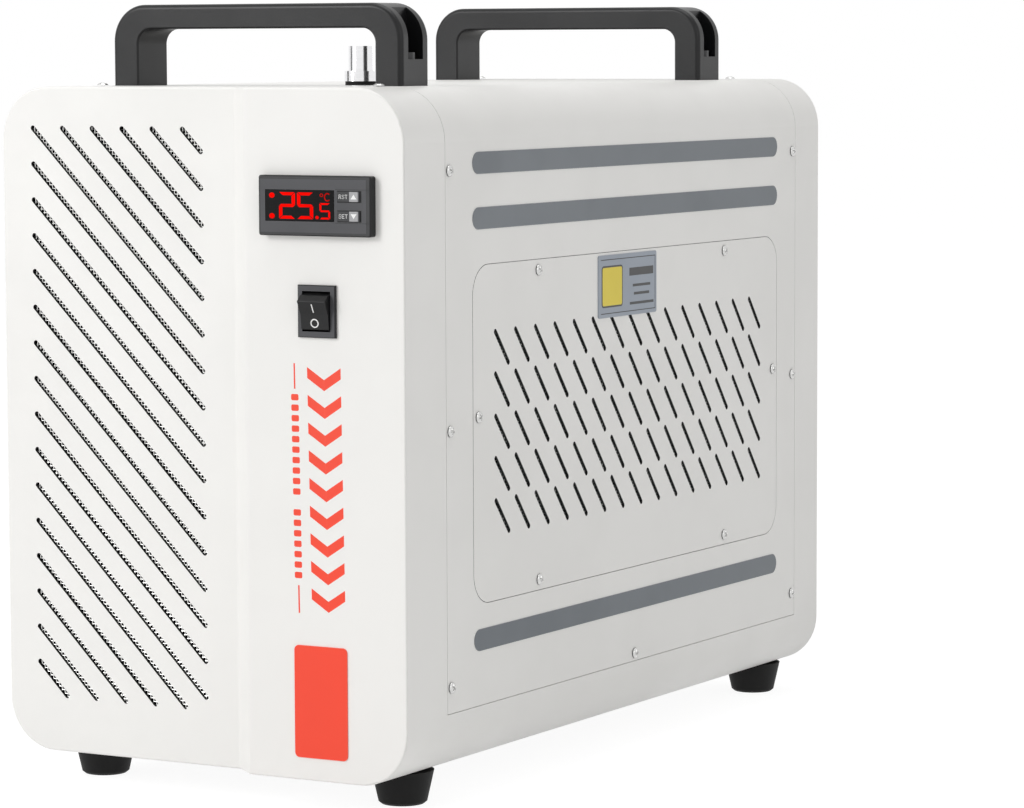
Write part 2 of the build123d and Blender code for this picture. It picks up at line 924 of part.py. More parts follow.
def switch_rocker():
    """Rocker with a shallow valley between its two crests, on a pin in the switch's side walls."""
    half = [(-rocker_back, rocker_end_height), (rocker_end_reach, rocker_end_height),
            (rocker_crest_reach, rocker_crest_height)]
    points = half + [(rocker_crest_reach - rocker_valley, 0)] + [(u, -v) for u, v in reversed(half)]
    profile = make_face(Polyline(*[(-u, v) for u, v in points], close=True))
    crests = [v for v in profile.vertices() if abs(v.X + rocker_crest_reach) < 0.01]
    profile = fillet(crests, rocker_round)
    plane = Plane(origin=(switch_x - rocker_width / 2, back(rocker_pivot_depth), up(switch_z)),
                  x_dir=(0, 1, 0), z_dir=(1, 0, 0))
    body = extrude(plane * Rot(0, 0, rocker_tilt) * profile, rocker_width)
    reach = switch_opening_width / 2 + rocker_pin_length - fit_gap
    pivot = (back(rocker_pivot_depth), up(switch_z))
    return body + rod(rocker_pin_radius, (switch_x - reach, *pivot), (switch_x + reach, *pivot))


def rear_panel():
    """Rear panel with its openings."""
    body = along_y(outline(sheet + fit_gap), rear_seat, rear_face)
    openings = [(fan_x, fan_z, fan_opening_radius), (drain_x, drain_z, drain_radius + fit_gap),
                (alarm_x, alarm_z, alarm_radius + fit_gap)]
    openings += [(x, barb_z, barb_sleeve_radius + fit_gap) for x in barb_x]
    for x, z, radius in openings:
        body -= rod(radius, (x, back(rear_seat - 1), up(z)), (x, back(rear_face + 1), up(z)))
    body -= along_y(Pos(inlet_x, up(inlet_z)) * inlet_cutout(fit_gap), rear_seat - 1, rear_face + 1)
    return body - screw_holes()


def inlet_cutout(gap):
    """Opening for the power inlet's body."""
    return Rectangle(inlet_body_width + 2 * gap, inlet_body_height + 2 * gap)


def rear_point(x, z, reach):
    """Point behind the rear panel's outer face."""
    return (x, back(rear_face + reach), up(z))


def fan_guard():
    """Guard over the fan: rings on spokes, with a plate in the middle that carries the motor."""
    inner = guard_stand_off
    outer = guard_stand_off + guard_wire
    body = rod(guard_plate_radius, rear_point(fan_x, fan_z, inner), rear_point(fan_x, fan_z, outer))
    step = (fan_opening_radius - guard_plate_radius) / guard_rings
    for count in range(1, guard_rings + 1):
        radius = guard_plate_radius + count * step
        body += ring(radius + guard_wire / 2, radius - guard_wire / 2,
                     rear_point(fan_x, fan_z, inner), rear_point(fan_x, fan_z, outer))
    reach = fan_opening_radius + guard_reach
    for count in range(guard_spokes):
        turn = 360 / guard_spokes * (count + 0.5)
        start = guard_plate_radius - guard_wire
        spoke = block((start, reach), (back(rear_face + inner), back(rear_face + outer)),
                      (-guard_wire / 2, guard_wire / 2))
        spoke += block((reach - guard_wire, reach + guard_wire), (back(rear_face), back(rear_face + outer)),
                       (-guard_wire, guard_wire))
        body += Pos(fan_x, 0, up(fan_z)) * Rot(0, turn, 0) * spoke
    return body


def fan_motor():
    """Stator of the outer-rotor fan motor, fixed to the guard, with its shaft."""
    seat = guard_stand_off
    front = rear_face - rotor_front
    body = rod(motor_radius, rear_point(fan_x, fan_z, seat),
               rear_point(fan_x, fan_z, rotor_wall + rotor_gap - front))
    body += rod(shaft_radius, rear_point(fan_x, fan_z, seat),
                rear_point(fan_x, fan_z, -front - shaft_past_rotor))
    return body


def blade():
    """Twisted fan blade, lofted outwards from the rotor along X."""
    sections = []
    root = rotor_radius - rotor_wall / 2
    for share in (0.0, 0.5, 1.0):
        radius = root + share * (blade_tip_radius + blade_trim - root)
        chord = blade_root_chord + share * (blade_tip_chord - blade_root_chord)
        pitch = blade_root_pitch + share * (blade_tip_pitch - blade_root_pitch)
        plane = Plane(origin=(radius, 0, 0), x_dir=(0, 0, 1), z_dir=(1, 0, 0))
        sections.append(plane * SlotOverall(chord, blade_thickness, rotation=pitch))
    return loft(sections)


def fan_blades():
    """Rotor cup with its blades."""
    rear = rotor_front + rotor_length
    def point(depth):
        return (fan_x, back(depth), up(fan_z))
    body = rod(rotor_radius, point(rotor_front), point(rear))
    middle = Pos(fan_x, back(rotor_front + rotor_length / 2), up(fan_z))
    for count in range(blade_count):
        body += middle * Rot(0, 360 / blade_count * count, 0) * blade()
    body &= rod(blade_tip_radius, point(rotor_front - blade_tip_chord), point(rear + blade_tip_chord))
    body -= rod(rotor_radius - rotor_wall, point(rotor_front + rotor_wall), point(rear + 1))
    return body - rod(shaft_radius + shaft_clearance, point(rotor_front - 1),
                      point(rotor_front + 2 * rotor_wall))


def fan_shroud():
    """Shroud from the condenser to a round throat at the rear panel."""
    centre = Pos(fan_x, up(fan_z))
    box = centre * (Rectangle(shroud_width, shroud_height)
                    - Rectangle(shroud_width - 2 * shroud_wall, shroud_height - 2 * shroud_wall))
    plate = centre * (Rectangle(shroud_width, shroud_height) - Circle(fan_opening_radius - shroud_wall))
    throat = centre * (Circle(fan_opening_radius) - Circle(fan_opening_radius - shroud_wall))
    body = along_y(box, shroud_front, shroud_plate)
    body += along_y(plate, shroud_plate, shroud_plate + shroud_wall)
    return body + along_y(throat, shroud_plate, rear_seat)


def header_places():
    """X of the condenser's two upright headers."""
    reach = condenser_width / 2 - header_radius
    return (fan_x - reach, fan_x + reach)


def condenser_core():
    """Condenser: two upright headers joined by flat tubes, and a plate above and below."""
    y = back(shroud_front - condenser_depth / 2)
    low = up(fan_z - condenser_height / 2)
    high = up(fan_z + condenser_height / 2)
    left, right = header_places()
    body = rod(header_radius, (left, y, low), (left, y, high))
    body += rod(header_radius, (right, y, low), (right, y, high))
    for level in tube_levels():
        body += block((left, right), (y - tube_depth / 2, y + tube_depth / 2),
                      (level - tube_thickness / 2, level + tube_thickness / 2))
    for level in (low + tube_thickness / 2, high - tube_thickness / 2):
        body += block((left, right), (y - condenser_depth / 2, y + condenser_depth / 2),
                      (level - tube_thickness / 2, level + tube_thickness / 2))
    return body


def tube_levels():
    """Heights of the flat tubes, evenly spaced between the end plates."""
    pitch = (condenser_height - tube_thickness) / (tube_count + 1)
    low = up(fan_z - condenser_height / 2) + tube_thickness / 2
    return [low + pitch * (count + 1) for count in range(tube_count)]


def condenser_fins():
    """Folded fins between the flat tubes, one strip to a gap."""
    pitch = (condenser_height - tube_thickness) / (tube_count + 1)
    left, right = header_places()
    start = left + header_radius + fit_gap
    run = right - header_radius - fit_gap - start
    step = run / (2 * fin_folds)
    rise = pitch - tube_thickness - fin_thickness
    low = up(fan_z - condenser_height / 2) + tube_thickness
    lower = [(start + step * count, low + rise * (count % 2)) for count in range(2 * fin_folds + 1)]
    upper = [(x, z + fin_thickness) for x, z in reversed(lower)]
    strip = make_face(Polyline(*lower, *upper, close=True))
    middle = shroud_front - condenser_depth / 2
    fin = along_y(strip, middle - tube_depth / 2, middle + tube_depth / 2)
    return group([Pos(0, 0, pitch * count) * fin for count in range(tube_count + 1)])


def water_port(x):
    """Barbed hose port: a grooved spigot outside, a nut on the panel and a plain tail inside."""
    def point(reach):
        return rear_point(x, barb_z, reach)
    end = rear_panel_recess + rear_reach
    body = rod(barb_radius - barb_crest, point(0), point(end))
    body += rod(barb_sleeve_radius, point(-sheet), point(barb_nut_height))
    land = (end - barb_nut_height) / (2 * barb_lands)
    for count in range(barb_lands):
        start = barb_nut_height + land * (2 * count + 1)
        body += rod(barb_radius, point(start), point(start + land))
    facing = Plane(origin=point(0), x_dir=(1, 0, 0), z_dir=(0, 1, 0))
    body += extrude(facing * RegularPolygon(barb_nut_radius, 6), barb_nut_height)
    body += rod(stub_outer, point(-barb_inner_length), point(-sheet))
    body += rod(barb_backnut_radius, point(-sheet - nut_height), point(-sheet))
    return body - rod(stub_bore, point(-barb_inner_length), point(end + 1))


def drain_fitting():
    """Drain spout through the rear panel."""
    def point(reach):
        return rear_point(drain_x, drain_z, reach)
    body = rod(drain_radius, point(-sheet), point(drain_spout))
    body += rod(drain_cap_radius, point(0), point(drain_collar))
    body += rod(drain_cap_radius, point(-sheet - nut_height), point(-sheet))
    body += rod(stub_outer, point(-drain_inner_length), point(-sheet))
    return body - rod(stub_bore, point(-drain_inner_length), point(drain_spout + 1))


def drain_cap():
    """Screw cap on the drain spout."""
    end = drain_spout + fit_gap + drain_cap_wall
    body = rod(drain_cap_radius, rear_point(drain_x, drain_z, drain_collar + fit_gap),
               rear_point(drain_x, drain_z, end))
    return body - rod(drain_radius + cap_bore_gap, rear_point(drain_x, drain_z, 0),
                      rear_point(drain_x, drain_z, end - drain_cap_wall))


def power_inlet():
    """Mains inlet with three pins and the bay of its fuse drawer."""
    centre = Pos(inlet_x, up(inlet_z))
    flange = centre * RectangleRounded(inlet_flange_width, inlet_height, inlet_flange_radius)
    body = along_y(flange, rear_face, rear_face + inlet_flange)
    body += along_y(centre * inlet_cutout(0), rear_face - inlet_body_depth, rear_face)
    mouth = Rectangle(inlet_mouth_width, inlet_mouth_height)
    mouth = chamfer(mouth.vertices().group_by(Axis.Y)[1], inlet_mouth_chamfer)
    body -= along_y(centre * Pos(0, inlet_mouth_rise) * mouth, rear_face - inlet_mouth_depth,
                    rear_face + inlet_flange + 1)
    bay = Rectangle(fuse_width + 2 * fuse_gap, fuse_height + 2 * fuse_gap)
    body -= along_y(centre * Pos(0, fuse_drop) * bay, rear_face + inlet_flange - fuse_depth - fuse_gap,
                    rear_face + inlet_flange + 1)
    for x, z in inlet_pins:
        pin = centre * Pos(x, inlet_mouth_rise + z) * Rectangle(inlet_pin_width, inlet_pin_height)
        body += along_y(pin, rear_face - inlet_mouth_depth, rear_face - inlet_mouth_depth + inlet_pin_length)
    return body


def fuse_drawer():
    """Fuse drawer below the inlet's mouth."""
    centre = Pos(inlet_x, up(inlet_z + fuse_drop))
    front = rear_face + inlet_flange
    body = along_y(centre * Rectangle(fuse_width, fuse_height), front - fuse_depth, front)
    well = Pos(0, fuse_wall) * Rectangle(fuse_width / 2 - 2 * fuse_wall, fuse_height)
    for x in (-fuse_width / 4, fuse_width / 4):
        body -= along_y(centre * Pos(x, 0) * well, front - fuse_depth + fuse_wall, front - fuse_front_wall)
    return body


def alarm_socket():
    """Round two-pin socket for the alarm output."""
    def point(reach):
        return rear_point(alarm_x, alarm_z, reach)
    body = rod(alarm_flange_radius, point(0), point(alarm_flange))
    body += rod(alarm_radius, point(-alarm_inner_length), point(alarm_spout))
    body += rod(alarm_flange_radius, point(-sheet - nut_height), point(-sheet))
    body -= rod(alarm_bore, point(alarm_bore_floor), point(alarm_spout + 1))
    for x in (alarm_x - alarm_pin_x, alarm_x + alarm_pin_x):
        body += rod(alarm_pin_radius, rear_point(x, alarm_z, alarm_bore_floor - 1),
                    rear_point(x, alarm_z, alarm_pin_reach))
    return body


def filler_point(height):
    """Point on the filler's axis."""
    return (filler_x, back(filler_y), up(height))


def filler_neck():
    """Filler tube from the tank lid through the cover, with the bright ring above it."""
    seat = case_height + gasket_height
    body = rod(neck_radius, filler_point(tank_top - lid_thickness), filler_point(seat + 1))
    body += rod(neck_foot_radius, filler_point(tank_top), filler_point(tank_top + neck_foot_height))
    body += rod(neck_ring_radius, filler_point(seat), filler_point(seat + neck_ring_height))
    spigot_top = seat + neck_ring_height + cap_height - cap_roof - cap_bore_gap
    body += rod(neck_spigot_radius, filler_point(seat), filler_point(spigot_top))
    return body - rod(neck_bore, filler_point(0), filler_point(spigot_top + 1))


def filler_gasket():
    """Rubber washer between the cover and the ring."""
    return ring(gasket_radius, neck_radius + fit_gap, filler_point(case_height),
                filler_point(case_height + gasket_height))


def filler_cap():
    """Bright cap over the filler's spigot."""
    base = case_height + gasket_height + neck_ring_height
    body = rod(cap_radius, filler_point(base), filler_point(base + cap_height))
    return body - rod(neck_spigot_radius + cap_bore_gap, filler_point(base - 1),
                      filler_point(base + cap_height - cap_roof))


def tank_outline(grow=0.0):
    """Plan of the tank."""
    return Pos(filler_x, back(tank_centre)) * RectangleRounded(
        tank_width + 2 * grow, tank_depth + 2 * grow, tank_radius + grow)


def water_tank():
    """Open-topped tank with an outlet near its floor."""
    height = tank_top - lid_thickness - floor
    body = extrude(Pos(0, 0, up(floor)) * tank_outline(), height)
    body -= extrude(Pos(0, 0, up(floor + tank_wall)) * tank_outline(-tank_wall), height)
    for wall_point, end in (tank_outlet(), tank_drain()):
        inside = Vector(*wall_point) + (Vector(*wall_point) - Vector(*end)).normalized() * 2 * tank_wall
        body += rod(stub_outer, end, Vector(*wall_point))
        body -= rod(stub_bore, end, inside)
    return body


def tank_outlet():
    """Where the outlet stub leaves the tank's left wall, and the stub's end."""
    wall_x = filler_x - tank_width / 2
    y, z = back(pump_y), up(pump_z)
    return (wall_x, y, z), (wall_x - stub_length, y, z)


def tank_drain():
    """Where the drain stub leaves the tank's rear wall, and the stub's end."""
    x = filler_x - tank_width / 2 + tank_radius + stub_outer
    wall_y = back(tank_centre + tank_depth / 2)
    z = up(drain_stub_height)
    return (x, wall_y, z), (x, wall_y + stub_length, z)


def return_place():
    """Place of the return stub on the lid."""
    return (filler_x - tank_width / 2 + return_inset, back(tank_centre + tank_depth / 2 - return_inset))


def tank_lid():
    """Lid of the tank with its return stub."""
    body = extrude(Pos(0, 0, up(tank_top - lid_thickness)) * tank_outline(lid_overhang), lid_thickness)
    x, y = return_place()
    low, high = up(tank_top - lid_thickness - 1), up(tank_top + stub_length)
    body += rod(stub_outer, (x, y, up(tank_top)), (x, y, high))
    body -= rod(stub_bore, (x, y, low), (x, y, high))
    y = back(tank_centre)
    body -= rod(stem_radius + fit_gap, (stem_x, y, low), (stem_x, y, high))
    return body - rod(neck_radius + fit_gap, filler_point(0), filler_point(case_height))


def float_stem():
    """Stem of the level sensor, hung from the lid, with a stop at its end."""
    x, y = stem_x, back(tank_centre)
    end = tank_top - lid_thickness - stem_length
    body = rod(stem_radius, (x, y, up(end)), (x, y, up(tank_top + stem_head_height)))
    body += rod(stem_stop_radius, (x, y, up(end)), (x, y, up(end + stem_stop_height)))
    body += rod(stem_stop_radius, (x, y, up(tank_top)), (x, y, up(tank_top + stem_collar_height)))
    upper = end + stem_stop_height + float_height + float_rise + float_play
    return body + rod(stem_stop_radius, (x, y, up(upper)), (x, y, up(upper + stem_stop_height)))


def level_float():
    """Float that slides on the stem."""
    x, y = stem_x, back(tank_centre)
    base = tank_top - lid_thickness - stem_length + stem_stop_height
    return ring(float_radius, stem_radius + float_gap, (x, y, up(base)), (x, y, up(base + float_height)))


def compressor_axis(height):
    """Point on the compressor's axis."""
    return (compressor_x, back(compressor_y), up(height))


def compressor():
    """Hermetic compressor: a welded shell with domed ends, its foot plate and its pipe stubs."""
    top = compressor_base + compressor_height
    flat = compressor_radius / 2
    lower = Spline((flat, compressor_base), (compressor_radius, compressor_base + compressor_dome),
                   tangents=((1, 0), (0, 1)))
    upper = Spline((compressor_radius, top - compressor_dome), (flat, top), tangents=((0, 1), (-1, 0)))
    rest = Polyline((flat, top), (0, top), (0, compressor_base), (flat, compressor_base))
    wall = Line(lower @ 1, upper @ 0)
    profile = make_face(lower.edges() + wall.edges() + upper.edges() + rest.edges())
    body = revolve(Plane.XZ * profile, Axis.Z)
    body += Pos(0, 0, seam_height) * Cylinder(compressor_radius + seam_proud, seam_width)
    plate = RectangleRounded(foot_plate_side, foot_plate_side, grommet_radius)
    body += extrude(Pos(0, 0, compressor_base) * plate, mount_plate)
    body = Pos(*compressor_axis(0)) * body
    for x, y in mount_places():
        body -= rod(stud_radius + fit_gap, (x, y, up(compressor_base - 1)),
                    (x, y, up(compressor_base + mount_plate + 1)))
    start, end = discharge_stub()
    body += rod(stub_radius, (*start[:2], up(compressor_base + compressor_height / 2)), end)
    start, end = suction_stub()
    return body + rod(stub_radius, compressor_axis(suction_height), end)


def mount_places():
    """Centres of the compressor's four mounts."""
    middle = back(compressor_y)
    return [(compressor_x + i * mount_reach, middle + j * mount_reach) for i in (1, -1) for j in (1, -1)]


def discharge_stub():
    """Discharge stub in the compressor's upper dome: its root and its end."""
    x, y = compressor_x - compressor_radius / 2, back(compressor_y)
    top = compressor_base + compressor_height
    return (x, y, up(top)), (x, y, up(top + stub_length))


def suction_stub():
    """Suction stub on the compressor's left side: its root and its end."""
    x, y, z = compressor_axis(suction_height)
    return (x - compressor_radius, y, z), (x - compressor_radius - stub_length, y, z)


def compressor_grommets():
    """Rubber mounts between the floor and the compressor's foot plate."""
    height = compressor_base - floor
    waist = grommet_radius - grommet_waist
    half = [(stud_radius + fit_gap, 0), (grommet_radius, 0), (grommet_radius, height / 4),
            (grommet_radius - waist, height / 2)]
    mirrored = [(r, height - z) for r, z in reversed(half[:-1])]
    body = revolve(Plane.XZ * make_face(Polyline(*half, *mirrored, close=True)), Axis.Z)
    return group([Pos(x, y, up(floor)) * body for x, y in mount_places()])


def compressor_studs():
    """Studs through the mounts, each with a nut and washer on the foot plate."""
    seat = compressor_base + mount_plate
    studs = []
    for x, y in mount_places():
        nut_seat = up(seat + washer_height)
        stud = rod(stud_radius, (x, y, up(floor)), (x, y, up(seat + stud_reach)))
        stud += rod(washer_radius, (x, y, up(seat)), (x, y, nut_seat))
        stud += extrude(Pos(x, y, nut_seat) * RegularPolygon(stud_nut_radius, 6), stud_nut_height)
        studs.append(stud)
    return group(studs)


def terminal_cover():
    """Cover over the compressor's terminals, shaped to the shell."""
    x, y, z = compressor_axis(terminal_height)
    body = block((x + terminal_root, x + compressor_radius + terminal_proud),
                 (y - terminal_width / 2, y + terminal_width / 2),
                 (z - terminal_tall / 2, z + terminal_tall / 2))
    body = fillet(body.edges().filter_by(Axis.X), terminal_round)
    return body - rod(compressor_radius, compressor_axis(0), compressor_axis(compressor_height))


def evaporator_port(side, level, outwards):
    """End of a port of the evaporator: side -1 or 1 of its middle, on its front or rear face."""
    x = evaporator_x + side * evaporator_port_x
    reach = stub_length if outwards > 0 else -stub_length
    edge = evaporator_front + (evaporator_depth if outwards > 0 else 0)
    return (x, back(edge), up(level)), (x, back(edge + reach), up(level))


def evaporator():
    """Brazed plate evaporator: a stack of dished plates between two covers, with its ports."""
    def plate(shrink):
        face = RectangleRounded(evaporator_width - 2 * shrink, evaporator_height - 2 * shrink,
                                evaporator_radius - shrink)
        return Pos(evaporator_x, up(floor + evaporator_height / 2)) * face
    body = along_y(plate(evaporator_step), evaporator_front, evaporator_front + evaporator_depth)
    for count in range(evaporator_plates):
        start = evaporator_front + evaporator_pitch * count
        body += along_y(plate(0), start, start + evaporator_plate)
    for side, level, outwards in evaporator_ports().values():
        root, end = evaporator_port(side, level, outwards)
        body += rod(stub_outer if side < 0 else pipe_radius + pipe_socket, root, end)
        if side < 0:
            body -= rod(stub_bore, root, end)
    return body


def evaporator_ports():
    """Side, height and face of each port."""
    return {
        "water_in": (-1, evaporator_port_high, -1),
        "water_out": (-1, evaporator_port_low, 1),
        "refrigerant_in": (1, evaporator_port_low, 1),
        "refrigerant_out": (1, evaporator_port_high, 1),
    }


def port_end(name):
    """End of a named port of the evaporator."""
    return evaporator_port(*evaporator_ports()[name])[1]


def pump_point(reach):
    """Point on the pump's axis, at a distance to the left of the volute's front."""
    return (pump_x - reach, back(pump_y), up(pump_z))


def pump_volute():
    """Pump casing with its inlet stub on the axis and its outlet stub on the rim."""
    body = rod(volute_radius, pump_point(0), pump_point(volute_depth))
    body += rod(stub_outer, pump_point(-stub_length), pump_point(volute_wall))
    rim = volute_radius - volute_wall - stub_bore
    x, y, z = pump_point(volute_depth / 2)
    body += rod(stub_outer, (x, y - rim, z), (x, y - rim, z + pump_outlet_rise))
    body -= rod(volute_radius - volute_wall, pump_point(volute_wall), pump_point(volute_depth - volute_wall))
    body -= rod(stub_bore, pump_point(-stub_length - 1), pump_point(volute_wall + 1))
    body -= rod(stub_bore, (x, y - rim, z), (x, y - rim, z + pump_outlet_rise + 1))
    return body - rod(pump_shaft_radius + pin_clearance, pump_point(volute_wall + 1),
                      pump_point(volute_depth + 1))


def pump_outlet_end():
    """End of the pump's outlet stub."""
    x, y, z = pump_point(volute_depth / 2)
    return (x, y - (volute_radius - volute_wall - stub_bore), z + pump_outlet_rise)


def pump_motor():
    """Pump motor on a saddle that stands on the floor."""
    start, end = volute_depth, volute_depth + pump_motor_length
    body = rod(pump_motor_radius, pump_point(start), pump_point(end))
    x, y, z = pump_point(0)
    body += block((x - end + pump_saddle_end, x - start - pump_saddle_start),
                  (y - pump_saddle_width / 2, y + pump_saddle_width / 2), (up(floor), z))
    return body - rod(pump_shaft_radius + pin_clearance, pump_point(start - 1),
                      pump_point(volute_depth - volute_wall + pump_shaft_length + fit_gap))


def pump_impeller():
    """Open impeller with curved vanes, and its shaft."""
    rear = volute_depth - volute_wall - impeller_gap
    body = rod(impeller_radius, pump_point(rear - impeller_disc), pump_point(rear))
    arc = RadiusArc((vane_root, 0), (impeller_radius - 1, vane_lean), vane_arc)
    vane = trace(arc, vane_thickness)
    plane = Plane(origin=pump_point(rear - impeller_disc), x_dir=(0, 1, 0), z_dir=(1, 0, 0))
    for count in range(impeller_vanes):
        body += extrude(plane * Rot(0, 0, 360 / impeller_vanes * count) * vane, vane_height)
    shaft_end = volute_depth - volute_wall + pump_shaft_length
    return body + rod(pump_shaft_radius, pump_point(rear - impeller_disc - vane_height),
                      pump_point(shaft_end))


def hose(points, bend=hose_bend):
    """Water hose along a route, pushed over the stub at each end."""
    bore = stub_outer + hose_gap
    return pipe(points, bore + hose_wall, bend) - pipe(points, bore, bend)


def push_on(end, root):
    """Point on a stub that a hose covers, back from its end towards its root."""
    end, root = Vector(*end), Vector(*root)
    return tuple(end + (root - end).normalized() * hose_cover)


def tail_end(x, z):
    """Inner end of a port in the rear panel, and a point nearer the panel."""
    return rear_point(x, z, -barb_inner_length), rear_point(x, z, -sheet)


def water_hoses():
    """Water hoses: tank to pump, pump to evaporator, evaporator to outlet, inlet to tank, and drain."""
    bore = stub_outer + hose_gap
    wall_point, stub = tank_outlet()
    pump_end = push_on(pump_point(-stub_length), pump_point(0))
    feed = ring(bore + hose_wall, bore, push_on(stub, wall_point), pump_end)
    x, y, z = pump_outlet_end()
    low = push_on((x, y, z), (x, y, z - 1))
    root, port = evaporator_port(*evaporator_ports()["water_in"])
    rise = port[2]
    supply = hose([low, (x, y, rise), (port[0], port[1] - supply_lead, rise), push_on(port, root)])
    root, port = evaporator_port(*evaporator_ports()["water_out"])
    end, wall = tail_end(barb_x[0], barb_z)
    outlet = hose([push_on(port, root), (port[0], port[1] + outlet_lead, port[2]),
                   (end[0], end[1] - outlet_tail, end[2]), push_on(end, wall)])
    end, wall = tail_end(barb_x[1], barb_z)
    lid_x, lid_y = return_place()
    spout = (lid_x, lid_y, up(tank_top + stub_length))
    crown = up(tank_top + stub_length + return_crown)
    turn_y = end[1] - return_setback
    back_run = hose([push_on(end, wall), (end[0], turn_y, end[2]), (end[0], turn_y, crown),
                     (lid_x, lid_y, crown), push_on(spout, (lid_x, lid_y, up(tank_top)))])
    wall_point, stub = tank_drain()
    end = rear_point(drain_x, drain_z, -drain_inner_length)
    lane = stub[0] - drain_lane
    drain = hose([push_on(end, rear_point(drain_x, drain_z, 0)), (end[0], end[1] - drain_tail, end[2]),
                  (lane, end[1] - drain_cross, stub[2]), (lane, stub[1] + drain_turn, stub[2]),
                  (stub[0], stub[1] + drain_lead, stub[2]), push_on(stub, wall_point)], drain_bend)
    return group([feed, supply, outlet, back_run, drain])


def refrigerant_pipes():
    """Copper lines: discharge, liquid, capillary and suction."""
    left, right = header_places()
    header_y = back(shroud_front - condenser_depth / 2)
    header_low, header_high = up(fan_z - condenser_height / 2), up(fan_z + condenser_height / 2)
    start = discharge_stub()[1]
    crown = header_high + discharge_crown
    discharge = pipe([start, (*start[:2], crown), (left, header_y, crown), (left, header_y, header_high)],
                     pipe_radius, pipe_bend)
    low = up(drier_base - liquid_drop)
    drier_foot = (drier_x, back(drier_y), up(drier_base))
    liquid = pipe([(right, header_y, header_low), (right, header_y, low), (*drier_foot[:2], low), drier_foot],
                  pipe_radius, pipe_bend)
    drier_head = (drier_x, back(drier_y), up(drier_base + drier_length))
    port = port_end("refrigerant_in")
    crest = up(compressor_base + compressor_height + capillary_crown)
    turn_y = drier_head[1] - capillary_lane
    capillary = pipe([drier_head, (*drier_head[:2], crest), (port[0], turn_y, crest),
                      (port[0], turn_y, port[2]), port], capillary_radius, pipe_bend)
    port = port_end("refrigerant_out")
    stub = suction_stub()[1]
    lane = stub[0] - suction_lane
    suction = pipe([port, (port[0], stub[1], port[2]), (lane, stub[1], port[2]), (lane, *stub[1:]), stub],
                   pipe_radius, pipe_bend)
    return group([discharge, liquid, capillary, suction])


def filter_drier():
    """Filter drier in the liquid line: a tube with spun ends."""
    x, y = drier_x, back(drier_y)
    taper = drier_radius
    body = rod(drier_radius, (x, y, up(drier_base + taper)), (x, y, up(drier_base + drier_length - taper)))
    rise = (Align.CENTER, Align.CENTER, Align.MIN)
    neck = pipe_radius + pipe_socket
    body += Pos(x, y, up(drier_base)) * Cone(neck, drier_radius, taper, align=rise)
    head = Pos(x, y, up(drier_base + drier_length - taper))
    return body + head * Cone(drier_radius, neck, taper, align=rise)


def run_capacitor():
    """Run capacitor standing on the floor, with two blades on its top."""
    x, y = capacitor_x, back(capacitor_y)
    body = rod(capacitor_radius, (x, y, up(floor)), (x, y, up(floor + capacitor_height)))
    body = chamfer(body.edges().group_by(Axis.Z)[-1], capacitor_chamfer)
    top = up(floor + capacitor_height)
    blade = Box(capacitor_blade_thickness, capacitor_blade_width, capacitor_blade_height)
    for side in (1, -1):
        body += Pos(x + side * capacitor_blade_x, y, top + capacitor_blade_height / 2) * blade
    return body


os.makedirs("parts", exist_ok=True)

save(chassis_shell(), "chassis_shell")
save(front_fascia(), "front_fascia")
save(rear_panel(), "rear_panel")
save(top_cover(), "top_cover")
save(access_panel(1), "right_access_panel")
save(access_panel(-1), "left_access_panel")
save(front_screen(), "front_dust_screen")
save(side_screen(1), "right_dust_screen")
save(side_screen(-1), "left_dust_screen")
save(handle(handle_front), "front_handle")
save(handle(handle_rear), "rear_handle")
save(handle_bolts(), "handle_bolts")
for foot_name, foot_place in foot_places().items():
    save(foot(*foot_place), foot_name)
save(foot_screws(), "foot_screws")
save(casing_screws(), "casing_screws")
save(side_stripes(), "side_stripes")
save(front_badge(), "front_badge")
save(side_plate(), "side_plate")
save(controller_body(), "controller_body")
save(display_window(), "display_window")
save(button(button_rise), "reset_button")
save(button(-button_rise), "set_button")
save(switch_frame(), "switch_frame")
save(switch_rocker(), "switch_rocker")
save(fan_guard(), "fan_guard")
save(fan_motor(), "fan_motor")
save(fan_blades(), "fan_blades")
save(fan_shroud(), "fan_shroud")
save(condenser_core(), "condenser_core")
save(condenser_fins(), "condenser_fins")
save(water_port(barb_x[0]), "water_outlet")
save(water_port(barb_x[1]), "water_inlet")
save(drain_fitting(), "drain_fitting")
save(drain_cap(), "drain_cap")
save(power_inlet(), "power_inlet")
save(fuse_drawer(), "fuse_drawer")
save(alarm_socket(), "alarm_socket")
save(filler_neck(), "filler_neck")
save(filler_gasket(), "filler_gasket")
save(filler_cap(), "filler_cap")
save(water_tank(), "water_tank")
save(tank_lid(), "tank_lid")
save(float_stem(), "float_stem")
save(level_float(), "level_float")
save(compressor(), "compressor")
save(compressor_grommets(), "compressor_grommets")
save(compressor_studs(), "compressor_studs")
save(terminal_cover(), "terminal_cover")
save(evaporator(), "evaporator")
save(pump_motor(), "pump_motor")
save(pump_volute(), "pump_volute")
save(pump_impeller(), "pump_impeller")
save(water_hoses(), "water_hoses")
save(refrigerant_pipes(), "refrigerant_pipes")
save(filter_drier(), "filter_drier")
save(run_capacitor(), "run_capacitor")
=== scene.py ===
import json
from math import cos, pi, radians, sin

import bmesh
import bpy
import numpy as np
from mathutils import Matrix, Vector


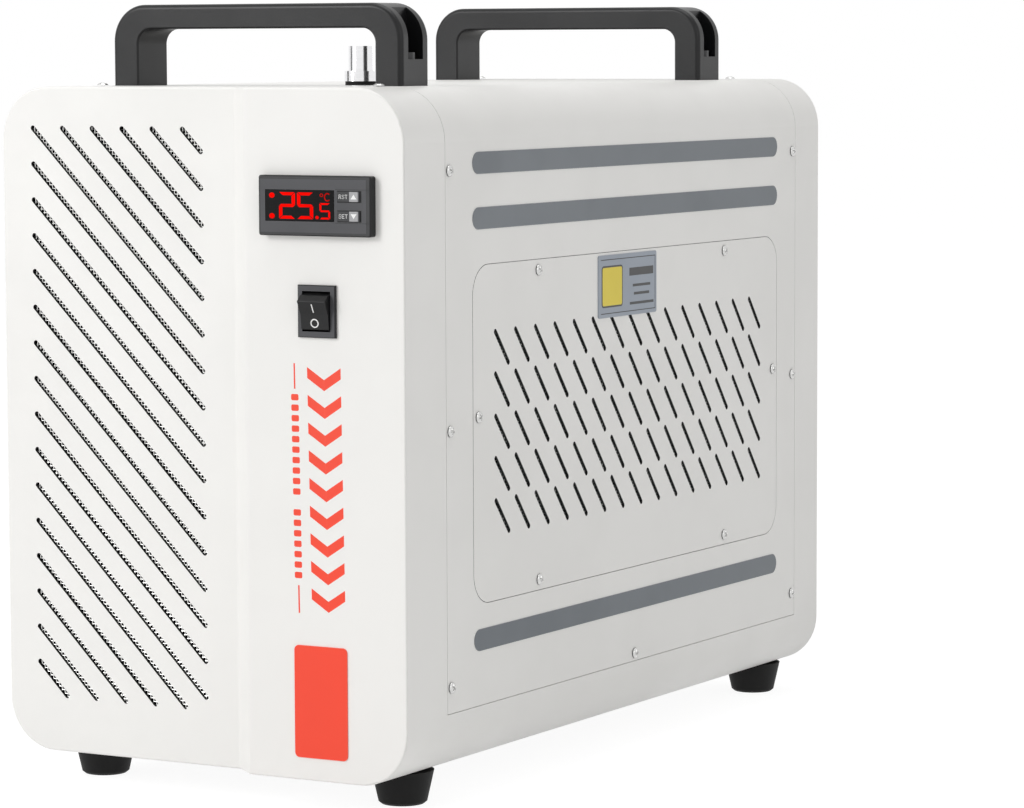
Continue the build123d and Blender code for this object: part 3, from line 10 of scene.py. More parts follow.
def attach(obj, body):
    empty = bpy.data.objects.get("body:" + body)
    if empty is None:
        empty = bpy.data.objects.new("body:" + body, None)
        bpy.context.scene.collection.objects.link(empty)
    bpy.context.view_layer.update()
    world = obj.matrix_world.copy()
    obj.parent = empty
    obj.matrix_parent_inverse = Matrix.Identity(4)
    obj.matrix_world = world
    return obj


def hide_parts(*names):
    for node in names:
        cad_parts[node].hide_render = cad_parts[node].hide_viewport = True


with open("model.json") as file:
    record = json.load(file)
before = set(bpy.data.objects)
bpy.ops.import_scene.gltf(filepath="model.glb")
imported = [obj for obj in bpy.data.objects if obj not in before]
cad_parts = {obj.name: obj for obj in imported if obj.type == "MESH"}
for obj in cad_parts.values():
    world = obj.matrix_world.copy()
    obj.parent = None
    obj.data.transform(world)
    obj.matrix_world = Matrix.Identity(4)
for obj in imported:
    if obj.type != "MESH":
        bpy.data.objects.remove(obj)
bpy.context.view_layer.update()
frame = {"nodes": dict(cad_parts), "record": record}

nodes = frame["nodes"]
scene = bpy.context.scene
print("frame loaded,", len(nodes), "nodes")

# Lengths below are millimetres: x from the middle, depth from the front plane, height from the
# casing's underside
case = {
    "width": 290.0,
    "height": 403.0,
    "frontY": -282.73,      # where the front plane stands in the frame
    "footHeight": 20.0,
}


def inFrame(x, depth, height):  # lengths that broadcast together become points in metres
    x, depth, height = np.broadcast_arrays(x, depth, height)
    return np.stack([x, depth + case["frontY"], height + case["footHeight"]], axis=-1) * 0.001


# Camera, set out from the photograph's vanishing lines
view = {
    "place": (1.3146, -2.23763, 0.4464),
    "lens": 141.0,
    "sensor": 36.0,
    "turn": 29.363,
    "down": 5.104,
    "roll": -0.204,
    "clipStart": 0.05,
}
camera = bpy.data.objects.new("photoCamera", bpy.data.cameras.new("photoCamera"))
scene.collection.objects.link(camera)
camera.data.lens = view["lens"]
camera.data.sensor_width = view["sensor"]
camera.data.sensor_fit = "HORIZONTAL"
camera.data.clip_start = view["clipStart"]
camera.data.dof.use_dof = False
camera.matrix_world = (Matrix.Translation(view["place"])
                       @ Matrix.Rotation(radians(view["turn"]), 4, "Z")
                       @ Matrix.Rotation(radians(90 - view["down"]), 4, "X")
                       @ Matrix.Rotation(radians(view["roll"]), 4, "Z"))
scene.camera = camera
print("camera placed")


# Shader groups that several finishes share
def newGroup(name, inputs, outputs):
    group = bpy.data.node_groups.new(name, "ShaderNodeTree")
    for label, kind, value in inputs:
        socket = group.interface.new_socket(name=label, in_out="INPUT", socket_type=kind)
        socket.default_value = value
    for label, kind in outputs:
        group.interface.new_socket(name=label, in_out="OUTPUT", socket_type=kind)
    return group, group.nodes.new("NodeGroupInput"), group.nodes.new("NodeGroupOutput")


def link(tree, source, target):
    tree.links.new(source, target)


def feed(tree, socket, value):  # a number is written on the socket, and anything else is linked to it
    if isinstance(value, (int, float)):
        socket.default_value = value
    else:
        link(tree, value, socket)


def mathNode(tree, operation, *values, clamp=False):
    node = tree.nodes.new("ShaderNodeMath")
    node.operation = operation
    node.use_clamp = clamp
    for socket, value in zip(node.inputs, values):
        feed(tree, socket, value)
    return node.outputs[0]


def noiseNode(tree, vector, scale, detail=2.0, rough=0.5):
    node = tree.nodes.new("ShaderNodeTexNoise")
    node.inputs["Detail"].default_value = detail
    node.inputs["Roughness"].default_value = rough
    link(tree, vector, node.inputs["Vector"])
    feed(tree, node.inputs["Scale"], scale)
    return node.outputs["Fac"]


def rangeNode(tree, value, low, high, start=0.0, end=1.0):
    # a smooth step from start to end while the value goes from low to high
    node = tree.nodes.new("ShaderNodeMapRange")
    node.interpolation_type = "SMOOTHSTEP"
    for socket, number in zip(node.inputs[:5], (value, low, high, start, end)):
        feed(tree, socket, number)
    return node.outputs["Result"]


def mixColour(tree, mask, first, second):  # first where the mask is 0, second where it is 1
    node = tree.nodes.new("ShaderNodeMix")
    node.data_type = "RGBA"
    feed(tree, node.inputs["Factor"], mask)
    for socket, colour in ((node.inputs[6], first), (node.inputs[7], second)):
        if isinstance(colour, tuple):
            socket.default_value = (*colour, 1.0)
        else:
            link(tree, colour, socket)
    return node.outputs[2]


def makeGrainGroup():  # fine and broad noise on object coordinates
    group, source, sink = newGroup("surfaceGrain", [
        ("Fine Scale", "NodeSocketFloat", 900.0),
        ("Broad Scale", "NodeSocketFloat", 14.0),
    ], [
        ("Height", "NodeSocketFloat"),
        ("Broad", "NodeSocketFloat"),
    ])
    place = group.nodes.new("ShaderNodeTexCoord").outputs["Object"]
    link(group, noiseNode(group, place, source.outputs["Fine Scale"], 1.5), sink.inputs["Height"])
    link(group, noiseNode(group, place, source.outputs["Broad Scale"], 3.0, 0.6), sink.inputs["Broad"])
    return group


def makeEdgeGroup():  # mask where the surface turns an outer edge, broken up by noise
    softness = 0.12
    group, source, sink = newGroup("edgeWear", [
        ("Radius", "NodeSocketFloat", 0.0008),
        ("Threshold", "NodeSocketFloat", 0.08),
        ("Breakup Scale", "NodeSocketFloat", 160.0),
    ], [
        ("Mask", "NodeSocketFloat"),
    ])
    bevel = group.nodes.new("ShaderNodeBevel")
    bevel.samples = 4
    link(group, source.outputs["Radius"], bevel.inputs["Radius"])
    shape = group.nodes.new("ShaderNodeNewGeometry")
    dot = group.nodes.new("ShaderNodeVectorMath")
    dot.operation = "DOT_PRODUCT"
    link(group, bevel.outputs[0], dot.inputs[0])
    link(group, shape.outputs["Normal"], dot.inputs[1])
    turned = mathNode(group, "SUBTRACT", 1.0, dot.outputs["Value"])
    place = group.nodes.new("ShaderNodeTexCoord").outputs["Object"]
    noise = noiseNode(group, place, source.outputs["Breakup Scale"], 3.0, 0.65)
    low = mathNode(group, "MULTIPLY", noise, source.outputs["Threshold"])
    high = mathNode(group, "ADD", low, softness)
    link(group, rangeNode(group, turned, low, high), sink.inputs["Mask"])
    return group


def makeDustGroup():  # thin dust in patches on faces that look up
    group, source, sink = newGroup("dustFilm", [
        ("Scale", "NodeSocketFloat", 60.0),
        ("Amount", "NodeSocketFloat", 0.3),
    ], [
        ("Mask", "NodeSocketFloat"),
    ])
    shape = group.nodes.new("ShaderNodeNewGeometry")
    split = group.nodes.new("ShaderNodeSeparateXYZ")
    link(group, shape.outputs["Normal"], split.inputs[0])
    upward = rangeNode(group, split.outputs["Z"], 0.5, 1.0)
    place = group.nodes.new("ShaderNodeTexCoord").outputs["Object"]
    patches = rangeNode(group, noiseNode(group, place, source.outputs["Scale"], 4.0, 0.7), 0.4, 0.75)
    mask = mathNode(group, "MULTIPLY", upward, patches)
    link(group, mathNode(group, "MULTIPLY", mask, source.outputs["Amount"]), sink.inputs["Mask"])
    return group


def makeBrushGroup():  # streaks: noise on object coordinates stretched along one axis
    group, source, sink = newGroup("brushedLines", [
        ("Stretch", "NodeSocketVector", (40.0, 900.0, 900.0)),
    ], [
        ("Height", "NodeSocketFloat"),
    ])
    place = group.nodes.new("ShaderNodeTexCoord").outputs["Object"]
    scale = group.nodes.new("ShaderNodeVectorMath")
    scale.operation = "MULTIPLY"
    link(group, place, scale.inputs[0])
    link(group, source.outputs["Stretch"], scale.inputs[1])
    link(group, noiseNode(group, scale.outputs[0], 1.0, 2.0), sink.inputs["Height"])
    return group


def makeWallShadeGroup(name, axis, low, high):
    # mask for the faces between two corners, in metres, that turn away from an axis: 1 where the
    # normal's share along the axis is below the sharpness; the finishes paint shade on these walls
    group, source, sink = newGroup(name, [
        ("Sharpness", "NodeSocketFloat", 0.5),
    ], [
        ("Mask", "NodeSocketFloat"),
    ])
    place = group.nodes.new("ShaderNodeTexCoord")
    normal = group.nodes.new("ShaderNodeSeparateXYZ")
    point = group.nodes.new("ShaderNodeSeparateXYZ")
    link(group, place.outputs["Normal"], normal.inputs[0])
    link(group, place.outputs["Object"], point.inputs[0])
    facing = mathNode(group, "ABSOLUTE", normal.outputs[axis])
    mask = mathNode(group, "LESS_THAN", facing, source.outputs["Sharpness"])
    for coordinate, start, end in zip(point.outputs, low, high):
        mask = mathNode(group, "MULTIPLY", mask, mathNode(group, "GREATER_THAN", coordinate, start))
        mask = mathNode(group, "MULTIPLY", mask, mathNode(group, "LESS_THAN", coordinate, end))
    link(group, mask, sink.inputs["Mask"])
    return group


wallShadeZones = {       # metres: where walls get painted shade, round the front's slots, the side panels' slots, and the controller
    "front": ("Y", (-0.128, -0.3, 0.048), (0.003, -0.26, 0.405)),
    "side": ("X", (-0.146, -0.21, 0.1), (0.146, 0.21, 0.33)),
    "forward": ("Y", (-0.2, -0.3, 0.2), (0.2, -0.2, 0.4)),
}
wallShadeGroups = {zone: makeWallShadeGroup(zone + "WallShade", *limits) for zone, limits in wallShadeZones.items()}
grainGroup = makeGrainGroup()
edgeGroup = makeEdgeGroup()
dustGroup = makeDustGroup()
brushGroup = makeBrushGroup()
print("shader groups made")


# Finishes
def placeGroup(tree, group, **values):  # a group's node with its own values; _ stands for a space
    node = tree.nodes.new("ShaderNodeGroup")
    node.node_tree = group
    for label, value in values.items():
        node.inputs[label.replace("_", " ")].default_value = value
    return node.outputs


def bumpNode(tree, height, strength, distance):
    node = tree.nodes.new("ShaderNodeBump")
    node.inputs["Strength"].default_value = strength
    node.inputs["Distance"].default_value = distance
    link(tree, height, node.inputs["Height"])
    return node.outputs[0]


def newMaterial(name):
    material = bpy.data.materials.new(name)
    material.use_nodes = True
    tree = material.node_tree
    return material, tree, tree.nodes["Principled BSDF"]


coating = {         # what all painted and moulded finishes share; lengths in metres
    "broadScale": 11.0,
    "edgeRadius": 0.0008,
    "edgeThreshold": 0.14,
    "edgeBreakup": 140.0,
    "dustScale": 70.0,
    "dustRoughness": 0.3,       # added where dust lies
    "roughnessSwing": 0.05,
    "bumpDepth": 0.0002,
    # painted shade for the walls of slots and for the controller's sides
    "paintedWallShade": (0.012, 0.012, 0.013),
}


def paintedFinish(name, colour, worn, roughness, fineScale, bump, wear=0.5, dust=0.1, spread=0.06,
                  dusty=(0.55, 0.53, 0.5), specular=0.5, shadedWalls=None, sharpness=0.5):
    # a coat with fine grain, broad cloudiness, rubbed edges and thin dust; where a zone of walls is
    # named, its walls get painted shade, a near-black colour on the faces that turn away
    material, tree, shader = newMaterial(name)
    grain = placeGroup(tree, grainGroup, Fine_Scale=fineScale, Broad_Scale=coating["broadScale"])
    edge = placeGroup(tree, edgeGroup, Radius=coating["edgeRadius"],
                      Threshold=coating["edgeThreshold"], Breakup_Scale=coating["edgeBreakup"])
    film = placeGroup(tree, dustGroup, Scale=coating["dustScale"], Amount=dust)
    shade = tuple(c * (1 - spread) for c in colour)
    cloudy = mixColour(tree, rangeNode(tree, grain["Broad"], 0.35, 0.65), colour, shade)
    rubbed = mixColour(tree, mathNode(tree, "MULTIPLY", edge["Mask"], wear), cloudy, worn)
    coat = mixColour(tree, film["Mask"], rubbed, dusty)
    # painted shade: the walls of the named zone turn near-black where they face away
    if shadedWalls:
        wall = placeGroup(tree, wallShadeGroups[shadedWalls], Sharpness=sharpness)["Mask"]
        coat = mixColour(tree, wall, coat, coating["paintedWallShade"])
    link(tree, coat, shader.inputs["Base Color"])
    swing = coating["roughnessSwing"]
    rough = rangeNode(tree, grain["Broad"], 0.3, 0.7, roughness - swing, roughness + swing)
    dulled = mathNode(tree, "MULTIPLY", film["Mask"], coating["dustRoughness"])
    link(tree, mathNode(tree, "ADD", rough, dulled, clamp=True), shader.inputs["Roughness"])
    link(tree, bumpNode(tree, grain["Height"], bump, coating["bumpDepth"]), shader.inputs["Normal"])
    shader.inputs["Specular IOR Level"].default_value = specular
    return material


metalwork = {       # what all bare metals share
    "broadScale": 35.0,
    "dullShare": 0.4,           # how far the dull patches show
    "roughnessShares": (0.75, 1.35),
    "bumpDepth": 0.0001,
}


def metalFinish(name, colour, roughness, stretch, bump, spread=0.12, dark=0.5):
    # bare metal with drawn or turned lines and duller patches
    material, tree, shader = newMaterial(name)
    lines = placeGroup(tree, brushGroup, Stretch=stretch)
    grain = placeGroup(tree, grainGroup, Broad_Scale=metalwork["broadScale"])
    shade = tuple(c * (1 - spread) for c in colour)
    dull = tuple(c * dark for c in colour)
    streaked = mixColour(tree, rangeNode(tree, lines["Height"], 0.3, 0.7), colour, shade)
    patches = rangeNode(tree, grain["Broad"], 0.62, 0.8, 0.0, metalwork["dullShare"])
    link(tree, mixColour(tree, patches, streaked, dull), shader.inputs["Base Color"])
    smooth, rough = (roughness * share for share in metalwork["roughnessShares"])
    link(tree, rangeNode(tree, lines["Height"], 0.25, 0.75, smooth, rough), shader.inputs["Roughness"])
    link(tree, bumpNode(tree, lines["Height"], bump, metalwork["bumpDepth"]), shader.inputs["Normal"])
    shader.inputs["Metallic"].default_value = 1.0
    return material


glowing = {         # what the lit figures share
    "broadScale": 90.0,
    "unlit": (0.02, 0.0, 0.0),
    "shadeShare": 0.82,
    "roughness": 0.5,
}


def glowFinish(name, colour, strength):
    # lit figures: an even glow with faint clouds in its colour
    material, tree, shader = newMaterial(name)
    grain = placeGroup(tree, grainGroup, Broad_Scale=glowing["broadScale"])
    shade = tuple(glowing["shadeShare"] * c for c in colour)
    cloudy = mixColour(tree, rangeNode(tree, grain["Broad"], 0.35, 0.65), colour, shade)
    link(tree, cloudy, shader.inputs["Emission Color"])
    shader.inputs["Emission Strength"].default_value = strength
    shader.inputs["Base Color"].default_value = (*glowing["unlit"], 1.0)
    shader.inputs["Roughness"].default_value = glowing["roughness"]
    shader.inputs["Specular IOR Level"].default_value = 0.0
    return material


# Coats: colour, worn colour, roughness, scale of the fine grain, bump, and what else is set
whiteCoat = ((0.86, 0.852, 0.828), (0.9, 0.895, 0.88), 0.40, 800.0, 0.10)
whiteExtras = {"wear": 0.4, "dust": 0.04, "spread": 0.02}
coats = {
    "whitePaint": (*whiteCoat, whiteExtras),
    # frontPaintSlotShade and panelPaintSlotShade carry painted shade on their slot walls
    "frontPaintSlotShade": (*whiteCoat, {**whiteExtras, "shadedWalls": "front"}),
    "panelPaintSlotShade": (*whiteCoat, {**whiteExtras, "shadedWalls": "side"}),
    "bluePaint": ((0.115, 0.135, 0.155), (0.3, 0.32, 0.34), 0.34, 1500.0, 0.05, {"spread": 0.1}),
    "redPaint": ((0.93, 0.05, 0.013), (0.93, 0.2, 0.12), 0.32, 1500.0, 0.04, {"spread": 0.04}),
    "blackPaint": ((0.017, 0.017, 0.019), (0.1, 0.1, 0.1), 0.42, 1000.0, 0.12, {"spread": 0.2}),
    # grey plastic: painted shade on the controller's and switch's faces that turn away from the front
    "greyPlasticSideShade": ((0.075, 0.076, 0.082), (0.16, 0.16, 0.17), 0.5, 2600.0, 0.12,
                    {"spread": 0.08, "specular": 0.3, "shadedWalls": "forward", "sharpness": 0.93}),
    "blackPlastic": ((0.0055, 0.0056, 0.0062), (0.03, 0.03, 0.032), 0.38, 2200.0, 0.16,
                     {"spread": 0.2, "dust": 0.02, "specular": 0.32}),
    "whitePlastic": ((0.78, 0.78, 0.75), (0.85, 0.85, 0.83), 0.35, 2000.0, 0.05, {}),
    "smokedGlass": ((0.0015, 0.0015, 0.0018), (0.01, 0.01, 0.01), 0.2, 3000.0, 0.01,
                    {"dust": 0.0, "specular": 0.08}),
    "rubber": ((0.006, 0.006, 0.006), (0.03, 0.03, 0.028), 0.62, 1800.0, 0.35,
               {"spread": 0.25, "dust": 0.15, "dusty": (0.08, 0.077, 0.074), "specular": 0.25}),
    # painted shade: a near-black sheet behind the dust screens stands for the dark inside of the casing
    "darkMat": ((0.0015, 0.0015, 0.0017), (0.003, 0.003, 0.003), 0.95, 2600.0, 0.4,
                {"spread": 0.3, "dust": 0.0, "specular": 0.03}),
    "plateBlue": ((0.30, 0.34, 0.40), (0.4, 0.42, 0.45), 0.42, 1500.0, 0.03, {}),
    # black for print, and also for the painted shade on the controller's face
    "inkAndShadeBlack": ((0.008, 0.009, 0.011), (0.01, 0.01, 0.01), 0.4, 2600.0, 0.03, {"dust": 0.0}),
    "inkWhite": ((0.85, 0.85, 0.84), (0.85, 0.85, 0.84), 0.4, 2600.0, 0.03, {"dust": 0.0}),
    "inkYellow": ((0.78, 0.62, 0.02), (0.8, 0.66, 0.1), 0.4, 2600.0, 0.03, {"dust": 0.0}),
    "keyGrey": ((0.36, 0.36, 0.37), (0.5, 0.5, 0.5), 0.35, 2600.0, 0.04, {"spread": 0.2, "dust": 0.0}),
}
# Metals: colour, roughness, stretch of the lines, bump, and what else is set
metals = {
    "brightSteel": ((0.66, 0.66, 0.65), 0.26, (900.0, 900.0, 900.0), 0.1, {}),
    "stainless": ((0.56, 0.555, 0.54), 0.3, (30.0, 30.0, 1300.0), 0.2, {}),
    "galvanised": ((0.62, 0.63, 0.63), 0.38, (220.0, 220.0, 220.0), 0.1, {"spread": 0.25}),
    "aluminium": ((0.72, 0.72, 0.73), 0.36, (60.0, 900.0, 900.0), 0.15, {}),
    "chrome": ((0.86, 0.86, 0.87), 0.13, (40.0, 40.0, 900.0), 0.008, {"spread": 0.03, "dark": 0.9}),
    "brass": ((0.62, 0.46, 0.2), 0.26, (900.0, 60.0, 900.0), 0.15, {}),
    "copper": ((0.72, 0.36, 0.23), 0.28, (300.0, 300.0, 300.0), 0.1, {"spread": 0.25}),
    "screenWire": ((0.86, 0.86, 0.84), 0.3, (900.0, 900.0, 900.0), 0.05, {"spread": 0.1}),
}
# Glows: colour and strength
glows = {
    "redGlow": ((1.0, 0.004, 0.002), 1.1),
    "dimGlow": ((1.0, 0.01, 0.006), 0.6),
}
finishes = {}
for name, (*values, extras) in coats.items():
    finishes[name] = paintedFinish(name, *values, **extras)
for name, (*values, extras) in metals.items():
    finishes[name] = metalFinish(name, *values, **extras)
for name, values in glows.items():
    finishes[name] = glowFinish(name, *values)

nodeFinish = {      # nodes whose finish isn't the plain one of their slot
    "side_plate": "plateBlue",
    "front_fascia": "frontPaintSlotShade",
    "left_access_panel": "panelPaintSlotShade",
    "right_access_panel": "panelPaintSlotShade",
    "handle_bolts": "blackPaint",
}
slotFinish = {
    "white_paint": "whitePaint",
    "blue_paint": "bluePaint",
    "red_paint": "redPaint",
    "black_paint": "blackPaint",
    "grey_plastic": "greyPlasticSideShade",
    "black_plastic": "blackPlastic",
    "white_plastic": "whitePlastic",
    "smoked_glass": "smokedGlass",
    "rubber": "rubber",
    "bright_steel": "brightSteel",
    "stainless": "stainless",
    "galvanised": "galvanised",
    "aluminium": "aluminium",
    "chrome": "chrome",
    "brass": "brass",
    "copper": "copper",
}
for part in frame["record"]["subparts"]:
    mesh = nodes[part["node"]].data
    mesh.materials.clear()
    mesh.materials.append(finishes[nodeFinish.get(part["node"], slotFinish[part["material_slot"]])])
print("finishes made:", len(finishes))


# Shapes: each function returns its points and its faces, and addPiece puts them into one mesh
def gridShape(points, wrapRows=False, wrapColumns=False):
    # four-sided faces between the rows and columns of a grid of points
    rows, columns = points.shape[:2]
    index = np.arange(rows * columns).reshape(rows, columns)
    if wrapRows:
        index = np.vstack([index, index[:1]])
    if wrapColumns:
        index = np.hstack([index, index[:, :1]])
    faces = np.stack([index[:-1, :-1], index[1:, :-1], index[1:, 1:], index[:-1, 1:]], axis=-1)
    return points.reshape(-1, 3), faces.reshape(-1, 4).tolist()


def endCaps(size, count):  # one face over the first ring of a stack of rings, one over the last
    return [list(range(size))[::-1], list(range(count - size, count))]


def tubeShape(path, across, along, section, closed):
    # a section carried along a path: each ring is the path's point plus the section's x times across
    # plus its y times along
    rings = (path[:, None, :] + section[None, :, 0, None] * across[:, None, :]
             + section[None, :, 1, None] * along[:, None, :])
    points, faces = gridShape(rings, wrapRows=closed, wrapColumns=True)
    return points, faces if closed else faces + endCaps(len(section), len(points))


def circleSection(radius, sides):  # radius times cosine and sine of evenly spaced angles
    turn = np.linspace(0, 2 * pi, sides, endpoint=False)
    return np.stack([radius * np.cos(turn), radius * np.sin(turn)], axis=-1)


def wireShape(path, radius, sides, closed, square):
    # a round wire: its rings stand square to the path's direction, which is the step from the point
    # before to the point after, and square is a direction that the path never takes
    ahead = np.roll(path, -1, axis=0) - np.roll(path, 1, axis=0)
    if not closed:
        ahead[0], ahead[-1] = path[1] - path[0], path[-1] - path[-2]
    ahead /= np.linalg.norm(ahead, axis=1, keepdims=True)
    across = np.cross(ahead, square)
    across /= np.linalg.norm(across, axis=1, keepdims=True)
    return tubeShape(path, across, np.cross(across, ahead), circleSection(radius, sides), closed)


def turnedShape(profile, centre, axis, first, steps):
    # a profile of radius and height turned about an axis: the centre plus the radius times the
    # turning direction plus the height times the axis
    profile = np.asarray(profile, float)
    axis, first = np.asarray(axis, float), np.asarray(first, float)
    second = np.cross(axis, first)
    turn = np.linspace(0, 2 * pi, steps, endpoint=False)
    spokes = np.cos(turn)[:, None] * first + np.sin(turn)[:, None] * second
    rings = centre + profile[:, None, 0, None] * spokes[None] + profile[:, None, 1, None] * axis
    return gridShape(rings, wrapColumns=True)


def rectangle(left, right, low, high):
    return [(left, low), (right, low), (right, high), (left, high)]


def roundedOutline(width, height, radius, steps=6):
    # a rectangle with round corners: four quarter circles one after the other
    turn = np.linspace(0, pi / 2, steps + 1)
    quarters = []
    for quarter, (signX, signY) in enumerate(((1, 1), (-1, 1), (-1, -1), (1, -1))):
        angle = turn + quarter * pi / 2
        quarters.append(np.stack([signX * (width / 2 - radius) + radius * np.cos(angle),
                                  signY * (height / 2 - radius) + radius * np.sin(angle)], axis=-1))
    return np.concatenate(quarters)


def ovalOutline(centreX, centreY, radiusX, radiusY, steps=20):
    # the centre plus one radius times the cosine and the other times the sine
    turn = np.linspace(0, 2 * pi, steps, endpoint=False)
    return np.stack([centreX + radiusX * np.cos(turn), centreY + radiusY * np.sin(turn)], axis=-1)


def slabShape(outline, low, high, toFrame):  # an outline raised between two lifts, closed at both ends
    outline = np.asarray(outline, float)
    rings = np.stack([toFrame(*outline.T, np.full(len(outline), lift)) for lift in (low, high)])
    points, faces = gridShape(rings, wrapColumns=True)
    return points, faces + endCaps(len(outline), len(points))


def strokeShapes(points, stroke, low, high, toFrame):  # one slab along each leg of a line, square ends
    shapes = []
    for start, end in zip(points[:-1], points[1:]):
        start, end = np.array(start, float), np.array(end, float)
        ahead = (end - start) / np.linalg.norm(end - start) * stroke / 2
        aside = np.array([-ahead[1], ahead[0]])
        near, far = start - ahead, end + ahead
        shapes.append(slabShape([near - aside, far - aside, far + aside, near + aside], low, high, toFrame))
    return shapes


def hoopShape(oval, stroke, low, high, toFrame, steps=28):
    # a flat ring: its outer and inner ovals at two lifts, joined all round
    centreX, centreY, radiusX, radiusY = oval
    loops = []
    for shrink, lift in ((0, low), (0, high), (stroke, high), (stroke, low)):
        outline = ovalOutline(centreX, centreY, radiusX - shrink, radiusY - shrink, steps)
        loops.append(toFrame(*outline.T, np.full(steps, lift)))
    return gridShape(np.stack(loops), wrapRows=True, wrapColumns=True)


def boxShape(limits, lifts, toFrame):  # six faces between two limits along each direction
    corners = [(x, y, lift) for lift in lifts for x, y in rectangle(*limits)]
    sides = [[0, 1, 5, 4], [1, 2, 6, 5], [2, 3, 7, 6], [3, 0, 4, 7]]
    return toFrame(*np.array(corners).T), [[3, 2, 1, 0], [4, 5, 6, 7]] + sides


def rimShape(outer, inner, lifts, toFrame):
    # a rectangular frame: the outer and inner rectangles at both lifts, joined in rings
    loops = ((outer, lifts[0]), (outer, lifts[1]), (inner, lifts[1]), (inner, lifts[0]))
    rings = [toFrame(*np.array(rectangle(*limits)).T, np.full(4, lift)) for limits, lift in loops]
    return gridShape(np.stack(rings), wrapRows=True, wrapColumns=True)


def frontFrame(centreX, centreHeight, depth):  # a drawing on the front: right, up, towards the viewer
    return lambda right, rise, lift: inFrame(centreX + right, depth - lift, centreHeight + rise)


def sideFrame(side, centreDepth, centreHeight, inset):
    # a drawing on a side: right, up and outwards; side is 1 for the right side and -1 for the left
    face = case["width"] / 2 - inset
    return lambda right, rise, lift: inFrame(side * (face + lift), centreDepth + side * right,
                                             centreHeight + rise)


def addPiece(name, shapes, finish, body, replaced=(), sharp=35.0, merge=True):
    points, faces, shift = [], [], 0
    for shapePoints, shapeFaces in shapes:
        points.append(np.asarray(shapePoints).reshape(-1, 3))
        faces += [[corner + shift for corner in face] for face in shapeFaces]
        shift += len(points[-1])
    mesh = bpy.data.meshes.new(name)
    mesh.from_pydata(np.concatenate(points).tolist(), [], faces)
    if merge:
        work = bmesh.new()
        work.from_mesh(mesh)
        bmesh.ops.remove_doubles(work, verts=work.verts, dist=1e-7)
        bmesh.ops.recalc_face_normals(work, faces=work.faces)
        work.to_mesh(mesh)
        work.free()
    mesh.shade_smooth()
    mesh.set_sharp_from_angle(angle=radians(sharp))
    mesh.materials.append(finishes[finish])
    piece = bpy.data.objects.new(name, mesh)
    scene.collection.objects.link(piece)
    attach(piece, body)
    if replaced:
        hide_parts(*replaced)


# Dust screens: woven wire over a near-black sheet that paints the shade inside the casing, in a folded rim
screens = {
    "pitch": 2.1,
    "wire": 0.23,
    "wireSides": 3,
    "wave": 0.17,
    "wireDepth": 0.42,
    "shadeSheetDepth": 0.84,
    "shadeSheetThickness": 0.3,
    "rim": 7.0,
    "rimDepth": 3.0,
    "frontField": (-127.0, 3.0, 29.0, 384.0),       # left, right, low, high
    "frontSheet": (-134.4, 10.5, 22.4, 390.1),
    "frontPlane": 14.4,
    "sideField": (-184.0, 184.0, -65.5, 65.5),      # about the panel's centre
    "sideSheet": (-190.5, 190.5, -85.25, 85.25),
    "sideCentre": (283.0, 197.95),
    "sidePlane": 1.5,
}


def weaveShapes(field, toFrame):
    # wires both ways: along a wire the lift swings by one wave from crossing to crossing, the other
    # way from its neighbours and from the wires across it
    left, right, low, high = field
    columns = np.arange(left, right, screens["pitch"])
    rows = np.arange(low, high, screens["pitch"])
    section = circleSection(screens["wire"], screens["wireSides"])
    shapes = []
    for lines, stations, upright in ((columns, rows, True), (rows, columns, False)):
        line, station = np.meshgrid(lines, stations, indexing="ij")
        parity = np.add.outer(np.arange(len(lines)), np.arange(len(stations))) % 2
        swing = np.where(parity == (0 if upright else 1), 1.0, -1.0)
        lift = screens["wave"] * swing - screens["wireDepth"]
        sides = []
        for aside, rise in section:
            flat = (line + aside, station) if upright else (station, line + aside)
            sides.append(toFrame(*flat, lift + rise))
        for wire in np.stack(sides, axis=2):
            points, faces = gridShape(wire, wrapColumns=True)
            shapes.append((points, faces + endCaps(len(section), len(points))))
    return shapes


def makeScreen(name, node, field, sheet, toFrame):
    addPiece(name + "Weave", weaveShapes(field, toFrame), "screenWire", "casing", (node,),
             sharp=80.0, merge=False)
    # painted shade: a near-black sheet behind the weave
    shadeSheetTop = -screens["shadeSheetDepth"]
    shadeSheet = boxShape(sheet, (shadeSheetTop - screens["shadeSheetThickness"], shadeSheetTop), toFrame)
    addPiece(name + "Mat", [shadeSheet], "darkMat", "casing")
    rim, (left, right, low, high) = screens["rim"], sheet
    opening = (left + rim, right - rim, low + rim, high - rim)
    frameShape = rimShape(sheet, opening, (-screens["rimDepth"], 0.0), toFrame)
    addPiece(name + "Rim", [frameShape], "galvanised", "casing")


makeScreen("frontScreen", "front_dust_screen", screens["frontField"], screens["frontSheet"],
           frontFrame(0.0, 0.0, screens["frontPlane"]))
for side, word in ((1, "right"), (-1, "left")):
    makeScreen(word + "Screen", word + "_dust_screen", screens["sideField"], screens["sideSheet"],
               sideFrame(side, *screens["sideCentre"], screens["sidePlane"]))
print("dust screens woven")

# Screws: pan heads with a cross recess
screws = {
    "radius": 3.4,
    "height": 2.0,
    "crown": 0.96,
    "crownPower": 0.4,
    "rings": (0.0, 0.12, 0.22, 0.34, 0.46, 0.58, 0.62, 0.72, 0.82, 0.91, 0.97, 1.0),    # radius shares
    "steps": 40,
    "recess": 1.15,
    "recessSlope": 0.35,        # how much shallower the cross is at its ends
    "armWidth": 0.5,
    "armLength": 2.05,
    "shank": 1.6,
    "shankSteps": 12,
    "length": 8.0,
    "seed": 7,
    "frontDepth": 50.8,
    "rearDepth": 512.7,
    "edgeHeights": (52.5, 203.0, 354.5),
    "sillHeight": 42.1,
    "middleDepth": 281.75,
    "topX": 98.0,
    "panelDepths": (157.0, 409.0),
    "panelHeights": (104.0, 291.9),
    "panelEnds": (83.8, 482.2),
    "panelEndHeight": 208.7,
    "rearFace": 550.5,
    "rearSpots": ((137.5, 97.0), (68.75, 194.0)),       # from the middle, mirrored both ways
}


